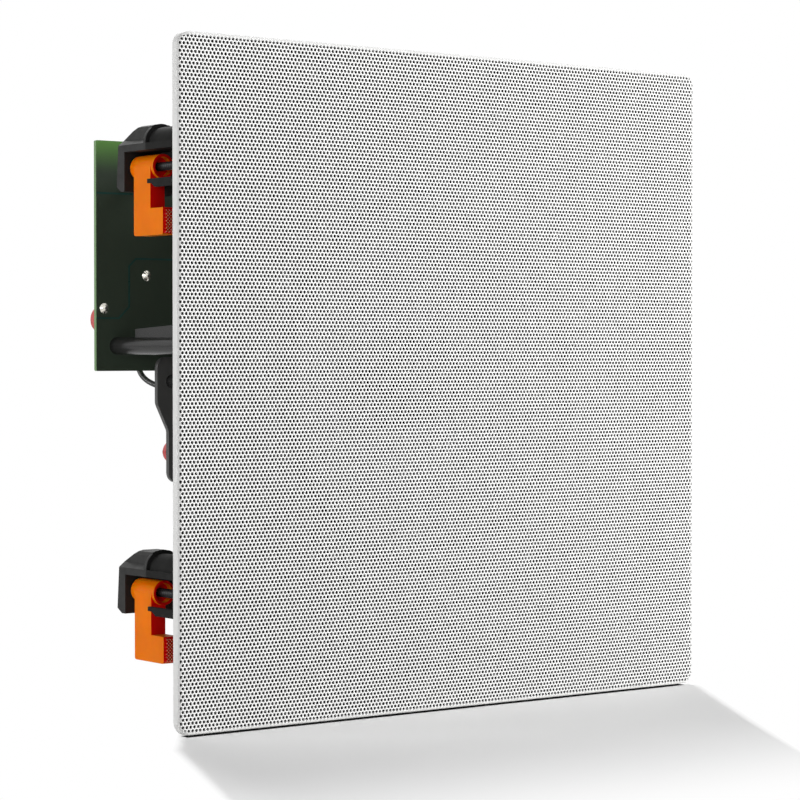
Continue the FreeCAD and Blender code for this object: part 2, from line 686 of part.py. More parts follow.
def make_chassis():
    flange_corner = s.face_corner - s.grille_sheet - s.grille_clearance
    flange = square("flange", FLANGE_SIDE, flange_corner, (FLANGE_FRONT, CEILING))
    skirt = square("skirt", SKIRT_SIDE, s.skirt_corner, (FLANGE_FRONT, PLATE_BACK))
    tray = square("tray", TRAY_SIDE, s.skirt_corner - s.skirt_wall / 2, (FLANGE_FRONT - OVER, s.tray_depth))
    well_outside = WELL_INSIDE + s.well_wall
    well = ring("well", WELL_INSIDE, well_outside, (s.tray_depth, SEAT_BACK))
    seat = ring("seat", SEAT_INSIDE, well_outside, (SEAT, SEAT_BACK))
    mouth = rod("mouth", WELL_INSIDE, (s.tray_depth - OVER, SEAT))
    shell = cut("chassis_shell", fused("chassis_block", [flange, skirt]), [tray, mouth])
    solids = [shell, well, seat, make_ribs()]
    for index, (x, z, turn) in enumerate(clamp_places(), 1):
        solids.append(place(make_tower(index), x, 0, z, turn))
    holes = []
    for index, (x, z) in enumerate(board_posts(), 1):
        solids.append(rod(f"board_post_{index}", s.post_radius, (PLATE_BACK, s.board_front), x, z))
        pilot = (s.board_front + s.board_thickness - s.board_screw_length, s.board_front)
        holes.append(rod(f"board_pilot_{index}", s.board_screw_radius, pilot, x, z))
    for index, side in enumerate((-1, 1), 1):
        solids.append(make_gusset(index, side * LOW_POST_X))
    post = (SEAT_BACK, s.terminal_front)
    peg_spot = (-TERMINAL_PEG_X, -s.terminal_peg_drop)
    solids.append(rod("terminal_post", s.terminal_post_radius, post, -TERMINAL_POST_X, 0))
    solids.append(rod("terminal_leg", s.terminal_post_radius, post, *peg_spot))
    solids.append(rod("terminal_peg", s.terminal_peg_radius, (s.terminal_front, PLATE_REAR), *peg_spot))
    pilot = (PLATE_REAR - s.board_screw_length, s.terminal_front)
    holes.append(rod("terminal_pilot", s.board_screw_radius, pilot, -TERMINAL_POST_X, 0))
    for index, (x, z, turn) in enumerate(clamp_places(), 1):
        holes.append(rod(f"clamp_bore_{index}", SCREW_BORE, (s.tray_depth - OVER, PLATE_BACK + OVER), x, z))
        head_room = s.screw_head_radius + s.screw_head_gap
        holes.append(rod(f"head_recess_{index}", head_room, (FLANGE_FRONT - OVER, HEAD_SEAT), x, z))
    holes.extend(driver_holes("driver_pilot", s.driver_screw_radius, (SEAT - OVER, SEAT_BACK + OVER)))
    holes.extend(magnet_rods("magnet_pocket", s.magnet_radius, magnet_planes()))
    node("chassis", cut("chassis", fused("chassis_solid", solids), holes))


def make_hood(index):
    """Wedge on the roof of a cap: sloped ledges, flat sides, rounded upper edges and a round lip in front."""
    centre = (TOWER_INNER_FACE - s.tower_outer) / 2
    crest = ROOF_TOP + s.tube_radius + s.hood_lip - s.hood_drop
    left = centre - s.hood_half_width
    right = centre + s.hood_half_width
    ledge = ROOF_TOP + s.hood_ledge
    edge = s.hood_edge
    section = slab(
        f"hood_section_{index}",
        [
            (-s.tower_outer, s.roof_height),
            (TOWER_INNER_FACE, s.roof_height),
            (TOWER_INNER_FACE, ROOF_TOP),
            (right, ledge),
            (right, crest - edge),
            (right - edge * HOOD_ROUND, crest - edge * HOOD_ROUND),
            (right - edge, crest),
            (left + edge, crest),
            (left + edge * HOOD_ROUND, crest - edge * HOOD_ROUND),
            (left, crest - edge),
            (left, ledge),
            (-s.tower_outer, ROOF_TOP),
        ],
        (s.tower_end, CAP_BACK),
    )
    slope = profile(
        f"hood_slope_{index}",
        [
            (s.tower_end, s.roof_height),
            (CAP_BACK, s.roof_height),
            (CAP_BACK, ledge),
            (s.tower_end + s.hood_length, crest),
            (s.tower_end, crest),
        ],
        (-s.tower_outer, TOWER_INNER_FACE),
    )
    lip_deep = (s.tower_end, s.tower_end + s.hood_lip_length)
    lip = half_tube(f"hood_lip_{index}", s.tube_radius + s.hood_lip, lip_deep)
    return [common(f"hood_{index}", [section, slope]), lip]


def make_cap(index, x, z, turn):
    """Rear end of a clamp tower: hood, roof, inner wall and the rear wall that steadies the screw's tip."""
    deep = (s.tower_end, CAP_BACK)
    rear = profile(
        f"cap_rear_{index}",
        [
            (CAP_INSIDE, -s.tower_drop),
            (CAP_FOOT - s.cap_chamfer, -s.tower_drop),
            (CAP_FOOT, s.cap_chamfer_rise - s.tower_drop),
            (CAP_BACK, ROOF_TOP),
            (CAP_INSIDE, ROOF_TOP),
        ],
        (-s.tower_outer, TOWER_INNER_FACE),
    )
    wall = block(f"cap_wall_{index}", (s.tower_inner, TOWER_INNER_FACE), deep, (-s.wall_drop, ROOF_TOP))
    bore = rod(f"cap_bore_{index}", SCREW_BORE, (CAP_INSIDE - OVER, CAP_FOOT + OVER))
    solid = fused(f"cap_solid_{index}", [rear, wall] + make_hood(index))
    node(f"clamp_cap_{index}", place(cut(f"clamp_cap_{index}", solid, [bore]), x, 0, z, turn))


def make_clamp_screw(index, x, z, turn):
    head_front = HEAD_SEAT - s.screw_head_height
    tip = CAP_BACK - s.screw_end_gap
    shank = turned(
        f"screw_shank_{index}",
        [
            (0, head_front),
            (s.screw_head_radius - s.screw_slot, head_front),
            (s.screw_head_radius, head_front + s.screw_slot),
            (s.screw_head_radius, HEAD_SEAT),
            (s.screw_radius, HEAD_SEAT),
            (s.screw_radius, tip - s.screw_radius),
            (s.screw_radius / 2, tip),
            (0, tip),
        ],
    )
    half = s.screw_slot / 2
    reach = s.screw_head_radius * SLOT_SHARE
    deep = (head_front - OVER, head_front + s.screw_head_height * SLOT_SHARE)
    level = block(f"screw_slot_level_{index}", (-reach, reach), deep, (-half, half))
    upright = block(f"screw_slot_upright_{index}", (-half, half), deep, (-reach, reach))
    screw = cut(f"clamp_screw_{index}", shank, [level, upright])
    node(f"clamp_screw_{index}", place(screw, x, 0, z, turn))


def make_dog(index, x, z, turn):
    """Boss on the screw, an arm that hangs beside it and a foot that reaches forward."""
    boss = rod(f"dog_boss_{index}", s.boss_radius, (s.dog_front, BOSS_BACK))
    foot_front = BAR_FRONT - s.foot_reach
    arm = profile(
        f"dog_arm_{index}",
        [
            (BAR_FRONT, 0),
            (BAR_FRONT, s.foot_height - s.arm_length),
            (foot_front, s.foot_height - s.arm_length),
            (foot_front, -s.arm_length),
            (BAR_BACK, -s.arm_length),
            (BAR_BACK, 0),
        ],
        (-s.arm_offset, s.arm_thickness - s.arm_offset),
    )
    low = float(s.foot_height / 2 - s.arm_length)
    round_off(arm, s.foot_corner, lambda edge: runs_across(edge) and edge.BoundBox.ZMax < low)
    bore = rod(f"dog_bore_{index}", SCREW_BORE, (s.dog_front - OVER, BOSS_BACK + OVER))
    recess_deep = (s.dog_front - OVER, s.dog_front + s.boss_recess_depth)
    recess = rod(f"dog_recess_{index}", s.boss_recess_radius, recess_deep)
    dog = cut(f"dog_{index}", fused(f"dog_solid_{index}", [boss, arm]), [bore, recess])
    node(f"dog_{index}", place(dog, x, 0, z, turn))


def make_basket():
    sheet_wall = s.basket_sheet
    shell = turned(
        "basket_shell",
        [
            (ROLL_OUTER, BASKET_FRONT),
            (BASKET_RADIUS, BASKET_FRONT),
            (BASKET_RADIUS, SEAT),
            (BASKET_MOUTH, SEAT),
            (s.basket_shelf_radius, SHELF),
            (s.basket_shelf_radius, SHELF + sheet_wall),
            (s.basket_back_radius, SHELF + 2 * sheet_wall),
            (s.basket_back_radius, TOP_PLATE),
            (PLATE_BORE, TOP_PLATE),
            (PLATE_BORE, TOP_PLATE - sheet_wall),
            (s.basket_back_radius - sheet_wall, TOP_PLATE - sheet_wall),
            (s.basket_back_radius - sheet_wall, SHELF),
            (s.basket_shelf_radius - sheet_wall, SHELF),
            (ROLL_OUTER, SEAT),
        ],
    )
    reach = BASKET_MOUTH + s.basket_clearance
    half = s.window_width / 2
    low = SEAT + s.basket_shelf * WINDOW_START
    high = SEAT + s.basket_shelf * WINDOW_END
    windows = []
    for index, angle in enumerate(WINDOW_ANGLES, 1):
        window = block(f"window_{index}", (-reach, reach), (low, high), (-half, half))
        holder = compound(f"window_turn_{index}", [window])
        holder.Placement.Rotation = FreeCAD.Rotation(FreeCAD.Vector(0, 1, 0), angle)
        windows.append(holder)
    holes = driver_holes("basket_hole", s.driver_screw_radius, (BASKET_FRONT - OVER, SEAT + OVER))
    node("woofer_basket", cut("woofer_basket", shell, windows + holes))


def make_gasket():
    plain = ring("gasket_plain", ROLL_OUTER, BASKET_RADIUS, (GASKET_FRONT, GASKET_BACK))
    holes = driver_holes("gasket_hole", s.driver_screw_radius, (GASKET_FRONT - OVER, GASKET_BACK + OVER))
    node("driver_gasket", cut("driver_gasket", plain, holes))


def make_driver_screws():
    screws = []
    for index, (x, z) in enumerate(driver_screw_spots(), 1):
        head_front = GASKET_FRONT - s.driver_head_height
        screws.append(
            turned(
                f"driver_screw_{index}",
                [
                    (0, head_front),
                    (s.driver_head_radius - s.driver_head_height / 2, head_front),
                    (s.driver_head_radius, head_front + s.driver_head_height / 2),
                    (s.driver_head_radius, GASKET_FRONT),
                    (s.driver_screw_radius, GASKET_FRONT),
                    (s.driver_screw_radius, SEAT_BACK),
                    (0, SEAT_BACK),
                ],
                x,
                z,
            )
        )
    node("driver_screws", compound("driver_screws", screws))


def make_surround():
    """Half-roll of rubber with a flat lip on the basket's rim and one on the cone's edge."""
    base = BASKET_FRONT
    rolls = []
    inside = s.roll_radius - s.surround_sheet
    for name, radius in (("roll_outside", s.roll_radius), ("roll_inside", inside)):
        roll = new("Part::Torus", name)
        bind(roll, "Radius1", ROLL_MIDDLE)
        bind(roll, "Radius2", radius)
        rolls.append(place(roll, 0, base, 0, ALONG_Y))
    reach = BASKET_RADIUS
    front = block("roll_front", (-reach, reach), (base - 2 * s.roll_radius, base), (-reach, reach))
    roll = common("roll", [cut("roll_tube", rolls[0], [rolls[1]]), front])
    lip = (base - s.surround_sheet, base)
    outer = ring("lip_outer", ROLL_OUTER - s.surround_sheet, ROLL_OUTER + s.surround_lip, lip)
    inner = ring("lip_inner", ROLL_INNER - s.surround_lip, ROLL_INNER + s.surround_sheet, lip)
    holes = driver_holes("lip_hole", s.driver_head_radius, (base - OVER, base + OVER))
    node("surround", cut("surround", fused("surround_whole", [roll, outer, inner]), holes))


def make_cone():
    middle_radius = CONE_NECK + (CONE_RIM - CONE_NECK) * CONE_BEND_OUT
    middle = CONE_FRONT + s.cone_depth * CONE_BEND_DOWN
    sheet_wall = s.cone_sheet
    rim_inside = ROLL_INNER - s.surround_lip
    node(
        "cone",
        turned(
            "cone",
            [
                (rim_inside, CONE_FRONT),
                (ROLL_INNER, CONE_FRONT),
                (ROLL_INNER, CONE_FRONT + sheet_wall),
                (rim_inside, CONE_FRONT + 2 * sheet_wall),
                (middle_radius, middle + sheet_wall),
                (CONE_NECK, CONE_BACK + sheet_wall),
                (CONE_NECK, CONE_BACK - sheet_wall),
                (middle_radius, middle - sheet_wall),
            ],
        ),
    )


def make_voice_coil():
    """Former glued into the cone's neck, with the winding in the magnet's gap."""
    outside = s.coil_radius + s.former_wall
    end = TOP_PLATE + (s.top_plate_thickness + s.winding_length) / 2
    start = end - s.winding_length
    former_front = CONE_BACK - 2 * s.cone_sheet
    node(
        "voice_coil",
        turned(
            "voice_coil",
            [
                (s.coil_radius, former_front),
                (outside, former_front),
                (outside, start),
                (COIL_OUTSIDE, start),
                (COIL_OUTSIDE, end),
                (s.coil_radius, end),
            ],
        ),
    )


def make_spider():
    """Waved cloth disc between the former and the basket's shelf."""
    inside = s.coil_radius + s.former_wall + s.spider_gap
    outside = s.basket_shelf_radius - s.basket_sheet
    step = (outside - inside) / (2 * SPIDER_WAVES)
    front = []
    for corner in range(2 * SPIDER_WAVES + 1):
        lift = s.spider_wave if corner % 2 else 0
        front.append((inside + corner * step, SHELF - s.spider_sheet - lift))
    back = [(radius, depth + s.spider_sheet) for radius, depth in reversed(front)]
    node("spider", turned("spider", front + back))


def make_magnet_system():
    node("top_plate", ring("top_plate", PLATE_BORE, s.magnet_plate_radius, (TOP_PLATE, RING_FRONT)))
    ferrite = ring("ring_magnet", s.ring_magnet_bore, s.ring_magnet_radius, (RING_FRONT, RING_BACK))
    node("ring_magnet", ferrite)
    edge = s.back_plate_thickness / 3
    node(
        "back_plate",
        turned(
            "back_plate",
            [
                (s.stem_radius, TOP_PLATE),
                (POLE_RADIUS, TOP_PLATE),
                (POLE_RADIUS, RING_BACK),
                (s.magnet_plate_radius, RING_BACK),
                (s.magnet_plate_radius, YOKE_BACK - edge),
                (s.magnet_plate_radius - edge, YOKE_BACK),
                (s.stem_radius, YOKE_BACK),
            ],
        ),
    )


def make_tweeter():
    front = s.tweeter_front
    back = front + s.tweeter_length
    seat = front + s.flare_depth
    edge = s.tweeter_radius - s.dome_radius
    node(
        "tweeter_housing",
        turned(
            "tweeter_housing",
            [
                (s.tweeter_radius - edge / 4, front),
                (s.tweeter_radius, front + edge / 4),
                (s.tweeter_radius, back - edge / 2),
                (s.tweeter_radius - edge / 2, back),
                (0, back),
                (0, seat),
                (s.dome_radius, seat),
                (s.dome_radius + edge / 3, front + s.flare_depth / 3),
            ],
        ),
    )
    ball = (s.dome_radius * s.dome_radius + s.dome_height * s.dome_height) / (2 * s.dome_height)
    shells = []
    for name, radius in (("dome_outside", ball), ("dome_inside", ball - s.dome_sheet)):
        sphere = new("Part::Sphere", name)
        bind(sphere, "Radius", radius)
        shells.append(place(sphere, 0, seat - s.dome_height + ball, 0))
    keep = rod("dome_keep", s.dome_radius, (seat - 2 * s.dome_height, seat))
    node("tweeter_dome", common("tweeter_dome", [cut("dome_shell", shells[0], [shells[1]]), keep]))
    node("tweeter_stem", rod("tweeter_stem", s.stem_radius, (back, YOKE_BACK)))


def make_board():
    deep = (s.board_front, BOARD_BACK)
    edges = (s.board_bottom, BOARD_TOP)
    plain = rounded_plate("board_plain", BOARD_HALF, *edges, s.board_corner, deep)
    through = (s.board_front - OVER, BOARD_BACK + OVER)
    holes = []
    screws = []
    for index, (x, z) in enumerate(board_posts(), 1):
        holes.append(rod(f"board_hole_{index}", s.board_screw_radius, through, x, z))
        screws.append(self_tapper(f"board_screw_{index}", BOARD_BACK, x, z))
    node("crossover_board", cut("crossover_board", plain, holes))
    node("board_screws", compound("board_screws", screws))


def self_tapper(name, seat, x, z):
    """Pan-head screw driven from behind into a post."""
    head = seat + s.board_head_height
    return turned(
        name,
        [
            (0, seat - s.board_screw_length),
            (s.board_screw_radius, seat - s.board_screw_length),
            (s.board_screw_radius, seat),
            (s.board_head_radius, seat),
            (s.board_head_radius, head - s.board_head_height / 2),
            (s.board_head_radius - s.board_head_height / 2, head),
            (0, head),
        ],
        x,
        z,
    )


def on_board(spot):
    """A place on the board as distances from the middle of the speaker."""
    across, up = spot
    return 2 * across * BOARD_HALF - BOARD_HALF, s.board_bottom + up * (BOARD_TOP - s.board_bottom)


def make_solder():
    joints = []
    for index, spot in enumerate(SOLDER_SPOTS, 1):
        tip = s.board_front - s.solder_height
        joints.append(
            turned(
                f"solder_{index}",
                [
                    (0, tip),
                    (s.solder_radius * SOLDER_TIP, tip),
                    (s.solder_radius * SOLDER_WAIST, tip + s.solder_height / 2),
                    (s.solder_radius, s.board_front),
                    (0, s.board_front),
                ],
                *on_board(spot),
            )
        )
    node("solder_joints", compound("solder_joints", joints))


def lying_cylinder(name, radius, length, spot):
    """A round body with softened ends that lies on the back of the board, along it."""
    x, z = on_board(spot)
    bar = new("Part::Cylinder", f"{name}_bar")
    bind(bar, "Radius", radius)
    bind(bar, "Height", length)
    place(bar, x, BOARD_BACK + radius, z, FreeCAD.Rotation(FreeCAD.Vector(0, 1, 0), 90))
    doc.recompute()
    soft = new("Part::Fillet", name)
    soft.Base = bar
    rims = [i for i, edge in enumerate(bar.Shape.Edges, 1) if edge.Curve.TypeId == "Part::GeomCircle"]
    corner = float(radius) * CAN_EDGE
    soft.Edges = [(rim, corner, corner) for rim in rims]
    return node(name, soft)


def inductor(name, radius, length, spot):
    """A bobbin on the board and the coil of enamelled wire wound on it."""
    x, z = on_board(spot)
    seat = BOARD_BACK
    end = seat + length
    cheek = s.bobbin_cheek
    node(
        f"{name}_bobbin",
        turned(
            f"{name}_bobbin",
            [
                (s.bobbin_core - cheek, seat),
                (radius, seat),
                (radius, seat + cheek),
                (s.bobbin_core, seat + cheek),
                (s.bobbin_core, end - cheek),
                (radius, end - cheek),
                (radius, end),
                (s.bobbin_core - cheek, end),
            ],
            x,
            z,
        ),
    )
    wound = radius - s.bobbin_margin
    winding = ring(f"{name}_winding", s.bobbin_core, wound, (seat + cheek, end - cheek))
    node(f"{name}_winding", place(winding, x, 0, z))


def make_components():
    for index, spot in enumerate(FILM_SPOTS, 1):
        lying_cylinder(f"film_capacitor_{index}", s.film_radius, s.film_length, spot)
    lying_cylinder("electrolytic_capacitor", s.electrolytic_radius, s.electrolytic_length, ELECTROLYTIC_SPOT)
    inductor("woofer_inductor", s.woofer_coil_radius, s.woofer_coil_length, WOOFER_COIL_SPOT)
    inductor("tweeter_inductor", s.tweeter_coil_radius, s.tweeter_coil_length, TWEETER_COIL_SPOT)
    x, z = on_board(RESISTOR_SPOT)
    across = (x - s.resistor_length / 2, x + s.resistor_length / 2)
    tall = (z - s.resistor_width / 2, z + s.resistor_width / 2)
    node("power_resistor", block("power_resistor", across, (BOARD_BACK, BOARD_BACK + s.resistor_width), tall))
    left = -LEAD_X - s.header_height / 2
    bottom = s.board_bottom + s.header_rise
    tall = (bottom, bottom + s.header_height)
    deep = (BOARD_BACK, BOARD_BACK + s.header_height)
    node("lead_header", block("lead_header", (left, left + s.header_length), deep, tall))


def make_terminals():
    left = -TERMINAL_POST_X - s.terminal_edge
    stepped = left + s.terminal_step
    inner = -s.ring_magnet_radius - s.terminal_clearance
    outline = [
        (left, s.terminal_top),
        (left, -s.terminal_step_top),
        (stepped, -s.terminal_step_end),
        (stepped, -s.terminal_bottom),
        (inner, -s.terminal_bottom),
        (inner, s.terminal_top),
    ]
    plain = slab("terminal_plain", outline, (s.terminal_front, PLATE_REAR))
    round_off(plain, s.terminal_corner, runs_deep)
    through = (s.terminal_front - OVER, PLATE_REAR + OVER)
    holes = [
        rod("terminal_hole", s.board_screw_radius, through, -TERMINAL_POST_X, 0),
        rod("terminal_peg_hole", s.terminal_peg_radius, through, -TERMINAL_PEG_X, -s.terminal_peg_drop),
    ]
    node("terminal_plate", cut("terminal_plate", plain, holes))
    node("terminal_screw", self_tapper("terminal_screw", PLATE_REAR, -TERMINAL_POST_X, 0))
    across = (-BUTTON_RED_X - s.block_margin, s.block_margin - BUTTON_BLACK_X)
    tall = (-s.block_centre - s.block_height / 2, s.block_height / 2 - s.block_centre)
    body = block("block_plain", across, (PLATE_REAR, BLOCK_REAR), tall)
    cuts = []
    for name, x in (("red", -BUTTON_RED_X), ("black", -BUTTON_BLACK_X)):
        well = (PLATE_REAR, BLOCK_REAR + OVER)
        cuts.append(rod(f"button_well_{name}", s.button_stem_radius + s.button_fit, well, x, -s.button_drop))
        hole = (BLOCK_REAR - s.wire_hole_depth, BLOCK_REAR + OVER)
        cuts.append(rod(f"wire_hole_{name}", s.wire_hole_radius, hole, x, s.wire_hole_rise - s.button_drop))
    node("terminal_block", cut("terminal_block", body, cuts))
    for name, x in (("red", -BUTTON_RED_X), ("black", -BUTTON_BLACK_X)):
        make_button(name, x)


def make_button(name, x):
    """Push button of a terminal: a round head on a stem that runs in the block."""
    head = BLOCK_REAR + s.button_rest + s.button_travel
    end = head + s.button_head
    edge = s.button_radius * BUTTON_EDGE
    button = turned(
        f"terminal_button_{name}",
        [
            (0, PLATE_REAR + s.button_rest + s.button_travel),
            (s.button_stem_radius, PLATE_REAR + s.button_rest + s.button_travel),
            (s.button_stem_radius, head),
            (s.button_radius, head),
            (s.button_radius, end - edge),
            (s.button_radius - edge / 3, end - edge / 3),
            (s.button_radius - edge, end),
            (0, end),
        ],
        x,
        -s.button_drop,
    )
    node(f"terminal_button_{name}", button)


def lead(name, points):
    """A round wire along straight runs joined by tangent arcs."""
    vectors = [FreeCAD.Vector(*(float(number) for number in point)) for point in points]
    edges = []
    start = vectors[0]
    for before, corner, after in zip(vectors, vectors[1:], vectors[2:]):
        into = (before - corner).normalize()
        out = (after - corner).normalize()
        room = BEND_SHARE * min((before - corner).Length, (after - corner).Length)
        first = corner + into * room
        last = corner + out * room
        middle = (into + out).normalize()
        half_angle = into.getAngle(out) / 2
        radius = room * math.tan(half_angle)
        reach = room / math.cos(half_angle) - radius
        edges.append(Part.LineSegment(start, first).toShape())
        edges.append(Part.Arc(first, corner + middle * reach, last).toShape())
        start = last
    edges.append(Part.LineSegment(start, vectors[-1]).toShape())
    path = Part.Wire(edges)
    direction = vectors[1] - vectors[0]
    section = Part.Wire([Part.makeCircle(float(s.lead_radius), vectors[0], direction)])
    tube = path.makePipeShell([section], True, False)
    wire = new("Part::Feature", name)
    wire.Shape = tube
    return node(name, wire)


def make_leads():
    """Two leads from the board's header, under the board's lower edge, to the top of the terminal block."""
    head = s.board_bottom + s.header_rise
    back = BOARD_BACK + s.header_height / 2
    end = s.block_height / 2 - s.block_centre
    entry = PLATE_REAR + s.block_depth / 2
    for name, x in (("black", -LEAD_X), ("red", s.lead_pitch - LEAD_X)):
        spot = -BUTTON_RED_X - s.block_margin / 2 if name == "black" else -BUTTON_BLACK_X
        lead(
            f"terminal_lead_{name}",
            [
                (x, back, head),
                (x, back, head - s.lead_drop),
                (spot, entry, end + s.lead_entry),
                (spot, entry, end),
            ],
        )


def make_woofer_leads():
    """Tag strip on the basket's back, and two leads from it to the board."""
    strip_top = s.basket_back_radius + s.tag_thickness
    strip_back = TOP_PLATE - s.basket_sheet / 2
    across = (-s.tag_width / 2, s.tag_width / 2)
    deep = (strip_back - s.tag_depth, strip_back)
    node("woofer_tag_strip", block("woofer_tag_strip", across, deep, (s.basket_back_radius, strip_top)))
    strip_middle = strip_back - s.tag_depth / 2
    for name, side in (("left", -1), ("right", 1)):
        x = side * s.tag_spread
        lead(
            f"woofer_lead_{name}",
            [
                (x, s.board_front, s.tag_lead_rise),
                (x, strip_middle, s.tag_lead_rise),
                (x, strip_middle, strip_top),
            ],
        )


def build():
    make_grille()
    make_magnets()
    make_chassis()
    for index, (x, z, turn) in enumerate(clamp_places(), 1):
        make_cap(index, x, z, turn)
        make_clamp_screw(index, x, z, turn)
        make_dog(index, x, z, turn)
    make_basket()
    make_gasket()
    make_driver_screws()
    make_surround()
    make_cone()
    make_voice_coil()
    make_spider()
    make_magnet_system()
    make_tweeter()
    make_board()
    make_solder()
    make_components()
    make_terminals()
    make_leads()
    make_woofer_leads()
    doc.recompute()


def check_and_write():
    os.makedirs("parts", exist_ok=True)
    for thing in doc.Objects:
        if "Invalid" in thing.State or "Error" in thing.State:
            raise RuntimeError(f"{thing.Label} did not build: {thing.State}")
    for thing in parts:
        if thing.Shape.isNull() or not thing.Shape.isValid():
            raise RuntimeError(f"{thing.Label} has no valid shape")
    for thing in parts:
        thing.Shape.exportStep(f"parts/{thing.Label}.step")
        print(f"{thing.Label}: {len(thing.Shape.Solids)} solids, {thing.Shape.Volume:.0f} mm3")


build()
check_and_write()
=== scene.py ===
"""Looks of a square ceiling speaker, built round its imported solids.

Metres, +Z up, the front faces -Y. The lengths of pieces are given in millimetres and scaled by MM.
Those of materials, welds, the stage, the lamps and the camera are given in metres.
"""
import json
import math

import bpy
import numpy as np
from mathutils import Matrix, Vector
from mathutils.geometry import delaunay_2d_cdt

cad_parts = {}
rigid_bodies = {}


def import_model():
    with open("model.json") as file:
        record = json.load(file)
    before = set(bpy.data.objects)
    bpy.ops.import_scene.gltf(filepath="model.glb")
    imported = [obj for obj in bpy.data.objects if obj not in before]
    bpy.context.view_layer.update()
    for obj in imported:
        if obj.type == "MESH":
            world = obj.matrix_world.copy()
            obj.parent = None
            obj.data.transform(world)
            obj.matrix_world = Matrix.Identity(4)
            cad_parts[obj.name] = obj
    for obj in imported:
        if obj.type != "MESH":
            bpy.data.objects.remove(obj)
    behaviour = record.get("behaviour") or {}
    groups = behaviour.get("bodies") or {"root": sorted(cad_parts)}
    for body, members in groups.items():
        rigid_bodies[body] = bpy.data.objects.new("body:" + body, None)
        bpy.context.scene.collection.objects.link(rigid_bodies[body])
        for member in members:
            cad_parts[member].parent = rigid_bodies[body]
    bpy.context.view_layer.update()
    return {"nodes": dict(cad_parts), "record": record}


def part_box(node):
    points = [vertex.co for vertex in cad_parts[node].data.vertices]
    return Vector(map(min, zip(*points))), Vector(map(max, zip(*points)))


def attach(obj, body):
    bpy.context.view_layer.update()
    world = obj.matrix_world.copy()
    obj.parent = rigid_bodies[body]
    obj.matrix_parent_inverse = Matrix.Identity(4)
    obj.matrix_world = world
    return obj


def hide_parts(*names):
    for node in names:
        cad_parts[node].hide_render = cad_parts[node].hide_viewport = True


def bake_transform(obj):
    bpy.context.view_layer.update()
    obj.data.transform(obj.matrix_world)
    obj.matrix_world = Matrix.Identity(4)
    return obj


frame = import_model()
nodes = frame["nodes"]
MM = 0.001
TURN = 2 * math.pi
TINY = 1e-9
WELD_DISTANCE = 1e-6
POINT_RADIUS = 0.001

# Sizes of the grille
FACE_Y = -3.8
RIM_Y = -0.2
CORE_HALF = 120.0
FLAT_REACH = 3.7
BEND = 1.3
SHEET = 0.55
PITCH = 1.6
ROW = 1.386
HOLE_RADIUS = 0.675
HOLE_REACH = 4.42
RIM_LOOPS = (5.06, 5.4, FLAT_REACH + BEND * math.pi / 2)
CORNER_STEPS = 12
BANDS = 5
RIM_CREASE = 50
HOLE_CORNERS = 6
HOLE_POINTS = 2 * HOLE_CORNERS
BAKE_SHIFT = (0.3, 0.52)
BAKE_MARGIN = 0.01

# Sizes of the clamps
CLAMPS = (1, 2, 3, 4)
LEFT_CLAMPS = (1, 2)
HEAD_SEAT = 5.8
HEAD_HEIGHT = 2.4
HEAD_RADIUS = 3.6
# Radius and depth behind the head's front, from the bottom of the recess to the head's side
HEAD_SECTION = (
    (POINT_RADIUS, 1.4), (0.54, 1.1), (0.9, 0.0), (2.4, 0.1), (3.2, 0.5), (HEAD_RADIUS, 1.2),
)
THREAD_CREST = 1.65
THREAD_ROOT = 1.3
THREAD_PITCH = 1.3
THREAD_SEGMENTS = 18
THREAD_RINGS = 6
THREAD_CREASE = 40
RIDGE_SLOPE = 1.6
RIDGE_CUT = 0.3
TIP_SHARE = 0.45
TIP_LENGTH = 2.0

# Sizes of the driver
DRIVER_CREASE = 60
SURROUND_BASE = 7.5
SURROUND_SHEET = 0.7
SURROUND_EDGES = (56.6, 79.4)
SURROUND_SECTORS = 24
SURROUND_STEPS = 4
ROLL_MIDDLE = 68.0
ROLL_RADIUS = 6.4
ROLL_STEPS = 14
SPIDER_SHELF = 40.0
SPIDER_SHEET = 0.5
SPIDER_EDGES = (19.6, 46.4)
SPIDER_WAVES = 6
SPIDER_LIFT = 1.2
SPIDER_SECTORS = 12
SPIDER_STEPS = 5
WAVE_STEPS = 8


def clear_default():
    for item in list(bpy.data.objects):
        if item.type in ("CAMERA", "LIGHT") or item.name == "Cube":
            bpy.data.objects.remove(item)


# Materials
NOISE_LOW = 0.3
NOISE_HIGH = 0.7
BLOTCH_DETAIL = 4.0
GLOSS_DETAIL = 3.0
GRAIN_DETAIL = 2.0
GLOSS_SCALE = 3.1
LEAST_ROUGH = 0.02
COAT_ROUGH = 0.12
GLOW_WEIGHT = 0.35
GLOW_SCALE = 0.002
PAINTED_FRONT_FACING = (-0.6, -0.97)
SIDEWAYS = 0.5
YARN_TINTS = (0.6, 1.25)
YARN_WANDER = 0.6


def node_tree(name):
    material = bpy.data.materials.new(name)
    material.use_nodes = True
    tree = material.node_tree
    return material, tree, tree.nodes["Principled BSDF"]


def add(tree, kind, **values):
    made = tree.nodes.new(kind)
    for key, value in values.items():
        if key in made.inputs:
            made.inputs[key].default_value = value
        else:
            setattr(made, key, value)
    return made


def object_space(tree):
    return add(tree, "ShaderNodeTexCoord").outputs["Object"]


def noise(tree, scale, detail, stretch=None):
    """Noise over the object's own coordinates, in metres, stretched where that is asked for."""
    place = object_space(tree)
    if stretch:
        mapping = add(tree, "ShaderNodeMapping")
        mapping.inputs["Scale"].default_value = stretch
        tree.links.new(place, mapping.inputs["Vector"])
        place = mapping.outputs["Vector"]
    texture = add(tree, "ShaderNodeTexNoise", Scale=scale, Detail=detail)
    tree.links.new(place, texture.inputs["Vector"])
    return texture.outputs["Fac"]


